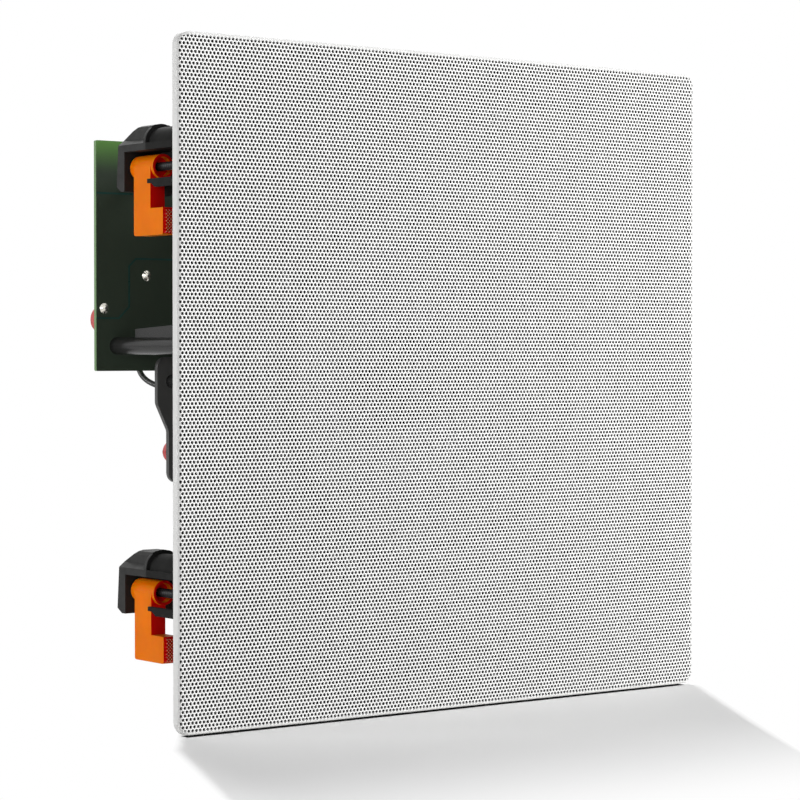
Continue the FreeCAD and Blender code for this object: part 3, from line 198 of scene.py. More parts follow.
def ramp(tree, source, stops):
    made = tree.nodes.new("ShaderNodeValToRGB")
    points = made.color_ramp.elements
    while len(points) < len(stops):
        points.new(0.5)
    for point, (place, color) in zip(points, stops):
        point.position = place
        point.color = (*color, 1.0)
    tree.links.new(source, made.inputs["Fac"])
    return made.outputs["Color"]


def ranged(tree, source, low, high, start=NOISE_LOW, end=NOISE_HIGH):
    made = add(tree, "ShaderNodeMapRange")
    made.inputs["From Min"].default_value = start
    made.inputs["From Max"].default_value = end
    made.inputs["To Min"].default_value = low
    made.inputs["To Max"].default_value = high
    tree.links.new(source, made.inputs["Value"])
    return made.outputs["Result"]


def calculated(tree, operation, one, two=None):
    """Result of an operation on two values, each a number or the output of another node."""
    made = add(tree, "ShaderNodeMath", operation=operation)
    for entry, value in zip(made.inputs, (one, two)):
        if isinstance(value, (int, float)):
            entry.default_value = value
        elif value is not None:
            tree.links.new(value, entry)
    return made.outputs[0]


def between(tree, share, one, two):
    """Colour between two others, each a plain colour or the output of another node."""
    made = add(tree, "ShaderNodeMix", data_type="RGBA")
    tree.links.new(share, made.inputs["Factor"])
    for name, color in (("A", one), ("B", two)):
        if isinstance(color, tuple):
            made.inputs[name].default_value = (*color, 1.0)
        else:
            tree.links.new(color, made.inputs[name])
    return made.outputs["Result"]


def parted(tree, source):
    """The X, Y and Z of a vector."""
    made = add(tree, "ShaderNodeSeparateXYZ")
    tree.links.new(source, made.inputs[0])
    return made.outputs


def larger(tree, one, two):
    return calculated(tree, "MAXIMUM", one, two)


def smooth_step(tree, source, start, end):
    step = add(tree, "ShaderNodeMapRange", interpolation_type="SMOOTHSTEP")
    step.inputs["From Min"].default_value = start
    step.inputs["From Max"].default_value = end
    tree.links.new(source, step.inputs["Value"])
    return step.outputs["Result"]


def bumped(tree, shader, height, depth):
    """Bump of the given depth in metres."""
    bump = add(tree, "ShaderNodeBump", Strength=1.0, Distance=depth)
    tree.links.new(height, bump.inputs["Height"])
    tree.links.new(bump.outputs["Normal"], shader.inputs["Normal"])


def tint(color, share):
    return tuple(min(1.0, max(0.0, c * share)) for c in color)


def finish(
    name, color, rough, metal=0.0, vary=0.1, vary_scale=80.0, grain=0.0, grain_scale=2500.0,
    rough_vary=0.08, coat=0.0, sheen=0.0, level=0.5, stretch=None, glow=None,
):
    """A surface with blotches of colour, uneven gloss and a fine grain."""
    material, tree, shader = node_tree(name)
    blotch = noise(tree, vary_scale, BLOTCH_DETAIL, stretch)
    stops = [(NOISE_LOW, tint(color, 1 - vary)), (NOISE_HIGH, tint(color, 1 + vary))]
    tree.links.new(ramp(tree, blotch, stops), shader.inputs["Base Color"])
    gloss = noise(tree, vary_scale * GLOSS_SCALE, GLOSS_DETAIL, stretch)
    rough_range = (max(LEAST_ROUGH, rough - rough_vary), min(1.0, rough + rough_vary))
    tree.links.new(ranged(tree, gloss, *rough_range), shader.inputs["Roughness"])
    shader.inputs["Metallic"].default_value = metal
    shader.inputs["Specular IOR Level"].default_value = level
    if coat:
        shader.inputs["Coat Weight"].default_value = coat
        shader.inputs["Coat Roughness"].default_value = COAT_ROUGH
    if sheen:
        shader.inputs["Sheen Weight"].default_value = sheen
    if glow:
        shader.inputs["Subsurface Weight"].default_value = GLOW_WEIGHT
        shader.inputs["Subsurface Radius"].default_value = glow
        shader.inputs["Subsurface Scale"].default_value = GLOW_SCALE
    if grain:
        bumped(tree, shader, noise(tree, grain_scale, GRAIN_DETAIL, stretch), grain)
    return material


def woven(name, color, thread, depth, rough=0.85):
    """Two crossed sets of threads, for cloth."""
    material, tree, shader = node_tree(name)
    spot = object_space(tree)
    waves = []
    for direction in ("X", "Z"):
        wave = add(tree, "ShaderNodeTexWave", Scale=1.0 / thread, Distortion=YARN_WANDER)
        wave.bands_direction = direction
        tree.links.new(spot, wave.inputs["Vector"])
        waves.append(wave.outputs["Fac"])
    mixed = calculated(tree, "MULTIPLY", *waves)
    stops = [(place, tint(color, share)) for place, share in zip((0.0, 1.0), YARN_TINTS)]
    tree.links.new(ramp(tree, mixed, stops), shader.inputs["Base Color"])
    shader.inputs["Roughness"].default_value = rough
    bumped(tree, shader, mixed, depth)
    return material


WHITE = (0.80, 0.80, 0.79)
BLACK = (0.02, 0.02, 0.0195)
ORANGE = (0.92, 0.20, 0.0)
RED_GLOW = (1.0, 0.05, 0.01)
# Deep red painted shade for faces that lie in the grille's shadow.
PAINTED_SHADE_RED = (0.95, 0.006, 0.004)
# Pale orange painted highlight for the knurl's tips that face the front.
PAINTED_TIP_HIGHLIGHT = (1.0, 0.62, 0.36)
# Lighter grey painted light for the terminal plate's front, which the flange shades.
TERMINAL_PAINTED_LIGHT = (0.118, 0.118, 0.114)
MOULDED = {"rough": 0.6, "vary": 0.1, "grain": 2.2e-5, "grain_scale": 3200.0, "level": 0.22}
PLATED = {"color": (0.50, 0.51, 0.52), "rough": 0.34, "metal": 1.0, "vary": 0.12, "grain": 6e-6,
          "stretch": (1, 0.1, 1)}
materials = {
    "white_coat": finish("white_coat", WHITE, 0.5, vary=0.015, grain=6e-6, grain_scale=1400.0, level=0.4),
    "black_moulding": finish("black_moulding", BLACK, **MOULDED),
    "black_screw": finish(
        "black_screw", (0.022, 0.022, 0.023), 0.46, metal=0.3, vary=0.25, grain=8e-6, level=0.4,
    ),
    "bright_magnet": finish(
        "bright_magnet", (0.06, 0.06, 0.064), 0.5, metal=0.6, vary=0.1, grain=3e-6, level=0.3,
    ),
    "black_basket": finish(
        "black_basket", (0.026, 0.026, 0.027), 0.42, vary=0.2, grain=1.4e-5, grain_scale=1500.0,
    ),
    "gasket": finish(
        "gasket", (0.04, 0.04, 0.042), 0.9, vary=0.3, grain=6e-5, grain_scale=1800.0, sheen=0.3,
    ),
    "zinc_screw": finish("zinc_screw", (0.56, 0.57, 0.58), 0.3, metal=1.0, vary=0.1, grain=5e-6),
    "rubber": finish("rubber", (0.022, 0.022, 0.023), 0.62, vary=0.25, grain=8e-6, grain_scale=900.0),
    "cone": woven("cone", (0.075, 0.075, 0.085), 0.0016, 5e-5, 0.5),
    "copper": finish("copper", (0.60, 0.24, 0.09), 0.28, metal=0.9, vary=0.18, coat=0.5, grain=4e-6),
    "spider_cloth": woven("spider_cloth", (0.58, 0.40, 0.17), 0.0009, 6e-5),
    "steel": finish("steel", **PLATED),
    "ferrite": finish("ferrite", (0.05, 0.05, 0.054), 0.7, vary=0.3, grain=4e-5, grain_scale=1300.0),
    "tweeter_black": finish("tweeter_black", (0.016, 0.016, 0.017), 0.75, vary=0.2, grain=1e-5, level=0.2),
    "dome": woven("dome", (0.03, 0.03, 0.034), 0.0006, 3e-5, 0.85),
    "solder": finish("solder", (0.80, 0.78, 0.70), 0.1, metal=1.0, vary=0.1, grain=3e-5, grain_scale=900.0),
    "film_red": finish(
        "film_red", (0.56, 0.022, 0.018), 0.22, vary=0.14, coat=0.6, grain=1e-5, grain_scale=700.0,
    ),
    "sleeve_black": finish("sleeve_black", (0.03, 0.03, 0.036), 0.3, vary=0.2, coat=0.3, grain=8e-6),
    "bobbin": finish("bobbin", (0.70, 0.68, 0.62), 0.5, vary=0.06, grain=1e-5),
    "cement": finish("cement", (0.72, 0.71, 0.66), 0.85, vary=0.12, grain=1e-4, grain_scale=1100.0),
    "header": finish("header", (0.74, 0.72, 0.66), 0.45, vary=0.06, grain=1e-5),
    "button_red": finish("button_red", (0.55, 0.012, 0.012), 0.16, vary=0.08, coat=0.5, grain=3e-6),
    "button_black": finish("button_black", (0.022, 0.022, 0.022), 0.18, vary=0.15, coat=0.5, grain=3e-6),
    "wire_black": finish("wire_black", (0.018, 0.018, 0.018), 0.4, vary=0.2, grain=6e-6),
    "wire_red": finish("wire_red", (0.45, 0.015, 0.012), 0.4, vary=0.12, grain=6e-6),
    "tag_strip": finish("tag_strip", (0.26, 0.13, 0.05), 0.7, vary=0.25, grain=2e-5, stretch=(0.2, 1, 1)),
}


def paint_front_shading(material, color):
    """Paints a colour that stands in for light and shade onto the faces that look towards the grille."""
    tree = material.node_tree
    entry = tree.nodes["Principled BSDF"].inputs["Base Color"]
    normal = parted(tree, add(tree, "ShaderNodeTexCoord").outputs["Normal"])
    facing = smooth_step(tree, normal["Y"], *PAINTED_FRONT_FACING)
    tree.links.new(between(tree, facing, entry.links[0].from_socket, color), entry)
    return material


POST_START = 0.0135
POST_BAND = 0.05
POST_POLISH = 0.36
POST_LEVEL = 0.28
TOWER_LEVEL = 0.03


def polish_posts(material):
    """Makes the posts behind the middle of the chassis glossier, and its towers duller, than the rest."""
    tree = material.node_tree
    shader = tree.nodes["Principled BSDF"]
    spot = parted(tree, object_space(tree))
    near = calculated(tree, "LESS_THAN", calculated(tree, "ABSOLUTE", spot["Z"]), POST_BAND)
    behind = calculated(tree, "GREATER_THAN", spot["Y"], POST_START)
    post = calculated(tree, "MULTIPLY", near, behind)
    rough = shader.inputs["Roughness"]
    share = ranged(tree, post, 1.0, POST_POLISH, 0.0, 1.0)
    tree.links.new(calculated(tree, "MULTIPLY", rough.links[0].from_socket, share), rough)
    level = ranged(tree, behind, MOULDED["level"], TOWER_LEVEL, 0.0, 1.0)
    extra = calculated(tree, "MULTIPLY", post, POST_LEVEL - TOWER_LEVEL)
    tree.links.new(calculated(tree, "ADD", level, extra), shader.inputs["Specular IOR Level"])
    return material


POLE_END = 0.062
POLE_BLACK = (0.012, 0.012, 0.012)
POLE_LEVEL = 0.1


def yoke_material():
    """Plated back plate whose pole is blackened inside the driver."""
    material = finish("yoke", **PLATED)
    tree = material.node_tree
    shader = tree.nodes["Principled BSDF"]
    entry = shader.inputs["Base Color"]
    inside = calculated(tree, "LESS_THAN", parted(tree, object_space(tree))["Y"], POLE_END)
    tree.links.new(between(tree, inside, entry.links[0].from_socket, POLE_BLACK), entry)
    tree.links.new(calculated(tree, "SUBTRACT", 1.0, inside), shader.inputs["Metallic"])
    shader.inputs["Specular IOR Level"].default_value = POLE_LEVEL
    return material


orange = finish(
    "clamp_orange", ORANGE, 0.4, vary=0.07, grain=1.2e-5, grain_scale=1800.0, level=0.08, glow=RED_GLOW,
)
# Painted shade: the dogs' faces towards the grille get deep red in place of the shadow there.
materials["clamp_orange"] = paint_front_shading(orange, PAINTED_SHADE_RED)
# Painted shade in deep red on the knurl's flanks, and a painted highlight in pale orange on its
# front-facing tips.
knurl = finish("clamp_knurl", PAINTED_SHADE_RED, 0.3, vary=0.1, grain=1.2e-5, grain_scale=1800.0, glow=RED_GLOW)
materials["clamp_knurl"] = paint_front_shading(knurl, PAINTED_TIP_HIGHLIGHT)
# Painted light: the terminal plate's faces towards the grille are lighter than the rest.
terminal = finish(
    "terminal_black", (0.055, 0.055, 0.053), 0.34, vary=0.1, grain=2.2e-5, grain_scale=3200.0,
)
materials["terminal_black"] = paint_front_shading(terminal, TERMINAL_PAINTED_LIGHT)
BOARD_GREEN = (0.068, 0.178, 0.041)
# Dark green of the mask over copper, which also serves as the painted shade low on the board's front.
BOARD_COPPER_AND_SHADE = (0.062, 0.086, 0.06)
# Painted light: the top of the board's front, brighter than its own green.
BOARD_FRONT_PAINTED_LIGHT = (0.17, 0.44, 0.078)
# Heights in metres over which the front fades from painted light down to painted shade.
BOARD_PAINTED_SHADE_FADE = (0.098, 0.079)
BOARD_CORE = (0.17, 0.30, 0.13)
BOARD_VARY = 0.18
BOARD_CLOUDS = 45.0
BOARD_ROUGH = 0.36
BOARD_LEVEL = 0.3
BOARD_COAT = 0.06
BOARD_COAT_ROUGH = 0.2
WEAVE_SCALE = 700.0
WEAVE_WANDER = 0.4
WEAVE_DEPTH = 4e-6
TRACE_TEAL = (0.018, 0.085, 0.07)


def board_material():
    """Solder mask over glass cloth, its front painted with light at the top that fades to painted shade
    towards the bottom, and its sawn edges pale.
    """
    material, tree, shader = node_tree("board_green")
    stops = [
        (NOISE_LOW, tint(BOARD_GREEN, 1 - BOARD_VARY)),
        (NOISE_HIGH, tint(BOARD_GREEN, 1 + BOARD_VARY)),
    ]
    mask = ramp(tree, noise(tree, BOARD_CLOUDS, BLOTCH_DETAIL), stops)
    place = add(tree, "ShaderNodeTexCoord")
    facing = parted(tree, place.outputs["Normal"])["Y"]
    # Painted light and shade: the front goes from light at the top to dark towards the bottom.
    painted_shade = smooth_step(tree, parted(tree, place.outputs["Object"])["Z"], *BOARD_PAINTED_SHADE_FADE)
    front_painted_shading = between(tree, painted_shade, BOARD_FRONT_PAINTED_LIGHT, BOARD_COPPER_AND_SHADE)
    skin = between(tree, calculated(tree, "LESS_THAN", facing, -SIDEWAYS), mask, front_painted_shading)
    sawn = calculated(tree, "LESS_THAN", calculated(tree, "ABSOLUTE", facing), SIDEWAYS)
    tree.links.new(between(tree, sawn, skin, BOARD_CORE), shader.inputs["Base Color"])
    shader.inputs["Roughness"].default_value = BOARD_ROUGH
    shader.inputs["Specular IOR Level"].default_value = BOARD_LEVEL
    shader.inputs["Coat Weight"].default_value = BOARD_COAT
    shader.inputs["Coat Roughness"].default_value = BOARD_COAT_ROUGH
    weave = add(tree, "ShaderNodeTexWave", Scale=WEAVE_SCALE, Distortion=WEAVE_WANDER)
    weave.bands_direction = "DIAGONAL"
    tree.links.new(place.outputs["Object"], weave.inputs["Vector"])
    bumped(tree, shader, weave.outputs["Fac"], WEAVE_DEPTH)
    return material


materials["board_green"] = board_material()
materials["board_trace"] = finish("board_trace", TRACE_TEAL, 0.35, vary=0.15, coat=0.3)

slot_of = {row["node"]: row["material_slot"] for row in frame["record"]["subparts"]}
for label, thing in nodes.items():
    thing.data.materials.clear()
    thing.data.materials.append(materials[slot_of[label]])
nodes["terminal_plate"].data.materials[0] = materials["terminal_black"]
former = finish("coil_former", (0.014, 0.013, 0.012), 0.6, vary=0.2, level=0.2)
nodes["voice_coil"].data.materials[0] = former
nodes["chassis"].data.materials[0] = polish_posts(finish("chassis_black", BLACK, **MOULDED))
yoke = yoke_material()
for label in ("back_plate", "tweeter_stem"):
    nodes[label].data.materials[0] = yoke


EDGE_SEGMENTS = 2
EDGE_ANGLE = 40


def soften(label, width):
    """Rounds the sharp edges of a moulded piece."""
    weld = nodes[label].modifiers.new("weld", "WELD")
    weld.merge_threshold = WELD_DISTANCE
    bevel = nodes[label].modifiers.new("edges", "BEVEL")
    bevel.width = width * MM
    bevel.segments = EDGE_SEGMENTS
    bevel.limit_method = "ANGLE"
    bevel.angle_limit = math.radians(EDGE_ANGLE)
    bevel.harden_normals = True


SOFT_EDGES = {"terminal_plate": 0.3, "terminal_block": 0.3, "lead_header": 0.3, "power_resistor": 0.5}
for clamp in CLAMPS:
    SOFT_EDGES[f"dog_{clamp}"] = 0.35
    SOFT_EDGES[f"clamp_cap_{clamp}"] = 0.3
for label, width in SOFT_EDGES.items():
    soften(label, width)


# Meshes


def piece(name, points, faces, slot, body, smooth=None, material=None):
    """A mesh piece in millimetres that rides on a body."""
    mesh = bpy.data.meshes.new(name)
    mesh.from_pydata([tuple(MM * c for c in point) for point in points], [], faces)
    mesh.update()
    made = bpy.data.objects.new(name, mesh)
    bpy.context.scene.collection.objects.link(made)
    mesh.materials.append(material or materials[slot])
    if smooth is not None:
        mesh.shade_smooth()
        mesh.set_sharp_from_angle(angle=math.radians(smooth))
    if body:
        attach(made, body)
    return made


def turned(section, segments, x=0.0, z=0.0, first=0.0, sweep=TURN):
    """Points and faces of a section of (radius, depth) turned about an axis along the depth."""
    whole = abs(sweep - TURN) < TINY
    count = segments if whole else segments + 1
    points = []
    for step in range(count):
        angle = first + sweep * step / segments
        for radius, depth in section:
            points.append((x + radius * math.cos(angle), depth, z + radius * math.sin(angle)))
    size = len(section)
    faces = []
    for step in range(segments):
        here = step * size
        there = ((step + 1) % count) * size
        for k in range(size - 1):
            faces.append((here + k, there + k, there + k + 1, here + k + 1))
    return points, faces


def belt(here, there, count):
    """Faces between two closed rings of points, given by the number of each ring's first point."""
    return [(here + k, here + (k + 1) % count, there + (k + 1) % count, there + k) for k in range(count)]


def axis_of(low, high):
    """Place across and up, in millimetres, of the axis through the middle of a box."""
    return (low.x + high.x) / 2 / MM, (low.z + high.z) / 2 / MM


# Perforated grille


def fold(u, v, depth):
    """Places of the flat sheet's points (u, v) on the folded pan, a depth behind its front."""
    beyond_u = np.maximum(np.abs(u) - CORE_HALF, 0.0)
    beyond_v = np.maximum(np.abs(v) - CORE_HALF, 0.0)
    reach = np.hypot(beyond_u, beyond_v)
    safe = np.maximum(reach, TINY)
    angle = np.clip((reach - FLAT_REACH) / BEND, 0.0, math.pi / 2)
    radial = np.where(reach > FLAT_REACH, FLAT_REACH + (BEND - depth) * np.sin(angle), reach)
    back = FACE_Y + BEND - (BEND - depth) * np.cos(angle)
    x = np.sign(u) * (np.minimum(np.abs(u), CORE_HALF) + radial * beyond_u / safe)
    z = np.sign(v) * (np.minimum(np.abs(v), CORE_HALF) + radial * beyond_v / safe)
    return np.stack([x, back, z], -1)


def sheet_reach(u, v):
    return np.hypot(np.maximum(np.abs(u) - CORE_HALF, 0.0), np.maximum(np.abs(v) - CORE_HALF, 0.0))


def lattice():
    """Index of each hole by row and column, -1 where there is none, and the holes' centres."""
    half_rows = int((CORE_HALF + HOLE_REACH) / ROW)
    half_columns = int((CORE_HALF + HOLE_REACH) / PITCH) + 1
    rows = np.arange(-half_rows, half_rows + 1)
    columns = np.arange(-half_columns, half_columns + 1)
    grid_row, grid_column = np.meshgrid(rows, columns, indexing="ij")
    u = (grid_column + 0.5 * (np.abs(grid_row) % 2)) * PITCH
    v = grid_row * ROW
    inside = sheet_reach(u, v) <= HOLE_REACH
    index = np.full(u.shape, -1)
    index[inside] = np.arange(inside.sum())
    odd = np.abs(rows) % 2
    return index, odd, u[inside], v[inside]


def web_faces(index, odd):
    """Quads and triangles of sheet between the holes, as numbers of their corner points."""
    quads = []
    triangles = []
    rows, columns = index.shape
    for row in range(rows):
        here = index[row]
        right = np.append(here[1:], -1)
        if row + 1 < rows:
            above = index[row + 1]
            before = np.append(-1, above[:-1])
            after = np.append(above[1:], -1)
            upper_right = after if odd[row] else above
            upper_left = above if odd[row] else before
        else:
            upper_right = np.full(columns, -1)
            upper_left = np.full(columns, -1)
        for other, corners in (
            (right, ((0, 5), (1, 3), (1, 2), (0, 0))),
            (upper_right, ((0, 0), (1, 4), (1, 3), (0, 1))),
            (upper_left, ((0, 1), (1, 5), (1, 4), (0, 2))),
        ):
            both = (here >= 0) & (other >= 0)
            pair = (here[both], other[both])
            quads.append(np.stack([pair[who] * HOLE_POINTS + corner for who, corner in corners], -1))
        for one, two, corners in (
            (right, upper_right, (0, 2, 4)),
            (upper_right, upper_left, (1, 3, 5)),
        ):
            every = (here >= 0) & (one >= 0) & (two >= 0)
            trio = (here[every], one[every], two[every])
            tips = [hole * HOLE_POINTS + corner for hole, corner in zip(trio, corners)]
            triangles.append(np.stack(tips, -1))
    return np.concatenate(quads), np.concatenate(triangles)


def fast_mesh(name, points, quads, triangles):
    mesh = bpy.data.meshes.new(name)
    mesh.vertices.add(len(points))
    mesh.vertices.foreach_set("co", (points * MM).astype(np.float32).ravel())
    loops = np.concatenate([quads.ravel(), triangles.ravel()])
    mesh.loops.add(len(loops))
    mesh.loops.foreach_set("vertex_index", loops.astype(np.int32))
    mesh.polygons.add(len(quads) + len(triangles))
    starts = np.concatenate([np.arange(len(quads)) * 4, len(quads) * 4 + np.arange(len(triangles)) * 3])
    mesh.polygons.foreach_set("loop_start", starts.astype(np.int32))
    mesh.update(calc_edges=True)
    mesh.validate()
    return mesh


def flat_map(mesh):
    """A map for baking: the sheet seen from the front, shifted by depth so that hole walls have a width."""
    layer = mesh.uv_layers.new(name="OFBake")
    corners = np.empty(len(mesh.loops), np.int32)
    mesh.loops.foreach_get("vertex_index", corners)
    places = np.empty(len(mesh.vertices) * 3, np.float32)
    mesh.vertices.foreach_get("co", places)
    places = places.reshape(-1, 3)
    depth = places[:, 1] - places[:, 1].min()
    spread = np.stack([places[:, 0] + BAKE_SHIFT[0] * depth, places[:, 2] + BAKE_SHIFT[1] * depth], -1)
    spread -= spread.min(0)
    spread /= spread.max(0)
    spread = BAKE_MARGIN + (1 - 2 * BAKE_MARGIN) * spread
    layer.uv.foreach_set("vector", spread[corners].astype(np.float32).ravel())


def sheet_normals(points, quads, triangles):
    """Normals of the whole sheet's points, which its bands share so that no seam shows between them."""
    whole = fast_mesh("grille_whole", points, quads, triangles)
    normals = np.empty(len(points) * 3, np.float32)
    whole.vertex_normals.foreach_get("vector", normals)
    bpy.data.meshes.remove(whole)
    return normals.reshape(-1, 3)


def outline_of(quads, triangles, holes):
    """Loop of corners round the whole lattice, with its holes counted as filled."""
    hexagons = np.arange(holes)[:, None] * HOLE_POINTS + np.arange(HOLE_CORNERS)[None, :]
    edges = set()
    for faces in (quads, triangles, hexagons):
        for k in range(faces.shape[1]):
            edges.update(zip(faces[:, k].tolist(), faces[:, (k + 1) % faces.shape[1]].tolist()))
    onward = {a: b for a, b in edges if (b, a) not in edges}
    start = next(iter(sorted(onward)))
    loop = [start]
    while onward[loop[-1]] != start:
        loop.append(onward[loop[-1]])
    return loop


def rounded_loop(reach):
    """Points of a rounded square that lies a reach outside the core."""
    spots = []
    for corner, (across, up) in enumerate(((1, 1), (-1, 1), (-1, -1), (1, -1))):
        for step in range(CORNER_STEPS + 1):
            angle = math.pi / 2 * (corner + step / CORNER_STEPS)
            x = across * CORE_HALF + reach * math.cos(angle)
            spots.append((x, up * CORE_HALF + reach * math.sin(angle)))
    return np.array(spots)


def inside_loop(spots, loop):
    """True for each spot that lies inside a closed loop."""
    hits = np.zeros(len(spots), int)
    following = np.roll(loop, -1, axis=0)
    for (x0, y0), (x1, y1) in zip(loop, following):
        crosses = (spots[:, 1] < y0) != (spots[:, 1] < y1)
        if y0 != y1:
            hits += crosses & (spots[:, 0] < x0 + (spots[:, 1] - y0) * (x1 - x0) / (y1 - y0))
    return hits % 2 == 1


def make_grille():
    index, odd, u, v = lattice()
    holes = len(u)
    angles = np.radians(30 + 60 * np.arange(HOLE_CORNERS))
    corner_u = u[:, None] + HOLE_RADIUS * np.cos(angles)[None, :]
    corner_v = v[:, None] + HOLE_RADIUS * np.sin(angles)[None, :]
    points = np.empty((holes, HOLE_POINTS, 3))
    points[:, :HOLE_CORNERS] = fold(corner_u, corner_v, 0.0)
    points[:, HOLE_CORNERS:] = fold(corner_u, corner_v, SHEET)
    points = points.reshape(-1, 3)
    quads, triangles = web_faces(index, odd)
    front = np.arange(holes) * HOLE_POINTS
    back = front + HOLE_CORNERS
    walls = []
    for k in range(HOLE_CORNERS):
        after = (k + 1) % HOLE_CORNERS
        walls.append(np.stack([front + k, front + after, back + after, back + k], -1))
    walls = np.concatenate(walls)
    every_quad = np.concatenate([quads, quads[:, ::-1] + HOLE_CORNERS, walls])
    every_triangle = np.concatenate([triangles, triangles[:, ::-1] + HOLE_CORNERS])
    normals = sheet_normals(points, every_quad, every_triangle)
    hole_band = np.minimum((np.arange(holes) * BANDS) // holes, BANDS - 1)
    quad_band = hole_band[every_quad[:, 0] // HOLE_POINTS]
    quad_band[len(quads):2 * len(quads)] = hole_band[quads[:, 0] // HOLE_POINTS]
    triangle_band = hole_band[every_triangle[:, 0] // HOLE_POINTS]
    triangle_band[len(triangles):] = hole_band[triangles[:, 0] // HOLE_POINTS]
    for band in range(BANDS):
        band_quads = every_quad[quad_band == band]
        band_triangles = every_triangle[triangle_band == band]
        corners = np.concatenate([band_quads.ravel(), band_triangles.ravel()])
        used, packed = np.unique(corners, return_inverse=True)
        packed_quads = packed[:band_quads.size].reshape(-1, 4)
        packed_triangles = packed[band_quads.size:].reshape(-1, 3)
        mesh = fast_mesh(f"grille_field_{band + 1}", points[used], packed_quads, packed_triangles)
        flat_map(mesh)
        mesh.normals_split_custom_set_from_vertices(normals[used].tolist())
        mesh.materials.append(materials["white_coat"])
        field = bpy.data.objects.new(mesh.name, mesh)
        bpy.context.scene.collection.objects.link(field)
        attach(field, "grille_pan")
    make_rim(quads, triangles, holes, corner_u.ravel(), corner_v.ravel())


def make_rim(quads, triangles, holes, corner_u, corner_v):
    """Edge of the pan from the outermost holes, round the bend and down to the rim, inside and outside."""
    loop = np.array(outline_of(quads, triangles, holes))
    flat = (loop // HOLE_POINTS) * HOLE_CORNERS + loop % HOLE_POINTS
    jagged = np.stack([corner_u[flat], corner_v[flat]], -1)
    outer = rounded_loop(RIM_LOOPS[0])
    spots = np.concatenate([jagged, outer])
    inner_edges = [(k, (k + 1) % len(jagged)) for k in range(len(jagged))]
    outer_edges = [(len(jagged) + k, len(jagged) + (k + 1) % len(outer)) for k in range(len(outer))]
    answer = delaunay_2d_cdt([Vector(spot) for spot in spots], inner_edges + outer_edges, [], 0, 1e-7)
    flat_points = np.array([tuple(spot) for spot in answer[0]])
    cells = np.array([face for face in answer[2] if len(face) == 3])
    middles = flat_points[cells].mean(1)
    cells = cells[~inside_loop(middles, jagged) & inside_loop(middles, outer)]
    corners = flat_points[cells]
    sides = corners[:, 1:] - corners[:, :1]
    turned_over = sides[:, 0, 0] * sides[:, 1, 1] - sides[:, 0, 1] * sides[:, 1, 0] < 0
    cells[turned_over] = cells[turned_over][:, ::-1]
    points = []
    faces = []
    size = len(flat_points)
    for depth in (0.0, SHEET):
        points.extend(fold(flat_points[:, 0], flat_points[:, 1], depth).tolist())
    faces.extend(tuple(cell) for cell in cells.tolist())
    faces.extend(tuple(c + size for c in reversed(cell)) for cell in cells.tolist())
    rings = []
    for depth in (0.0, SHEET):
        strip = []
        for reach in RIM_LOOPS:
            spots = rounded_loop(reach)
            strip.append(fold(spots[:, 0], spots[:, 1], depth))
        foot = strip[-1].copy()
        foot[:, 1] = RIM_Y
        strip.append(foot)
        rings.append(strip)
    strips = rings[0] + rings[1][::-1]
    count = len(strips[0])
    first = len(points)
    for strip in strips:
        points.extend(strip.tolist())
    for level in range(len(strips) - 1):
        for k in range(count):
            here = first + level * count
            there = here + count
            after = (k + 1) % count
            faces.append((here + k, there + k, there + after, here + after))
    rim = piece("grille_rim", points, faces, "white_coat", None, smooth=RIM_CREASE)
    weld = rim.modifiers.new("weld", "WELD")
    weld.merge_threshold = WELD_DISTANCE
    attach(rim, "grille_pan")
    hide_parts("grille")


# Clamps


def ridge(share):
    """Height of a screw thread's profile, from 0 at the root to 1 at the crest."""
    fall = abs(2 * (share % 1.0) - 1)
    return min(1.0, max(0.0, RIDGE_SLOPE * fall - RIDGE_CUT))


def make_screw(number):
    """Clamp screw with a domed head, a round recess in it and a real thread."""
    low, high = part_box(f"clamp_screw_{number}")
    x, z = axis_of(low, high)
    tip = high.y / MM
    head_front = HEAD_SEAT - HEAD_HEIGHT
    section = [(radius, head_front + depth) for radius, depth in HEAD_SECTION]
    section += [(HEAD_RADIUS, HEAD_SEAT), (THREAD_CREST, HEAD_SEAT)]
    points = []
    rings = []
    for radius, depth in section:
        rings.append([(radius, depth)] * THREAD_SEGMENTS)
    turns = (tip - HEAD_SEAT) / THREAD_PITCH
    steps = int(turns * THREAD_RINGS)
    for step in range(1, steps + 1):
        depth = HEAD_SEAT + (tip - HEAD_SEAT) * step / steps
        left = tip - depth
        taper = min(1.0, TIP_SHARE + left / TIP_LENGTH)
        ring = []
        for k in range(THREAD_SEGMENTS):
            height = ridge(depth / THREAD_PITCH - k / THREAD_SEGMENTS)
            ring.append(((THREAD_ROOT + (THREAD_CREST - THREAD_ROOT) * height) * taper, depth))
        rings.append(ring)
    rings.append([(POINT_RADIUS, tip)] * THREAD_SEGMENTS)
    for ring in rings:
        for k, (radius, depth) in enumerate(ring):
            angle = TURN * k / THREAD_SEGMENTS
            points.append((x + radius * math.cos(angle), depth, z + radius * math.sin(angle)))
    faces = []
    for level in range(len(rings) - 1):
        here = level * THREAD_SEGMENTS
        faces.extend(belt(here, here + THREAD_SEGMENTS, THREAD_SEGMENTS))
    body = f"clamp_turn_{number}"
    screw = piece(f"clamp_screw_thread_{number}", points, faces, "black_screw", body, smooth=THREAD_CREASE)
    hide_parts(f"clamp_screw_{number}")


PAD_COLUMNS = 4
PAD_ROWS = 7
PAD_MARGIN = 0.45
PAD_HEIGHT = 0.75
DIAMOND = ((-1, 0), (0, -1), (1, 0), (0, 1))
# Half-width as a share of the spacing, and depth behind the foot's front, at each step of a diamond
PAD_STEPS = ((0.49, 0.05), (0.46, -0.12), (0.24, -PAD_HEIGHT))
FOOT_FRONT = 30.2
FOOT_LENGTH = 10.0
ARM_OUTER = 4.7
ARM_INNER = 1.5
ARM_LENGTH = 25.5


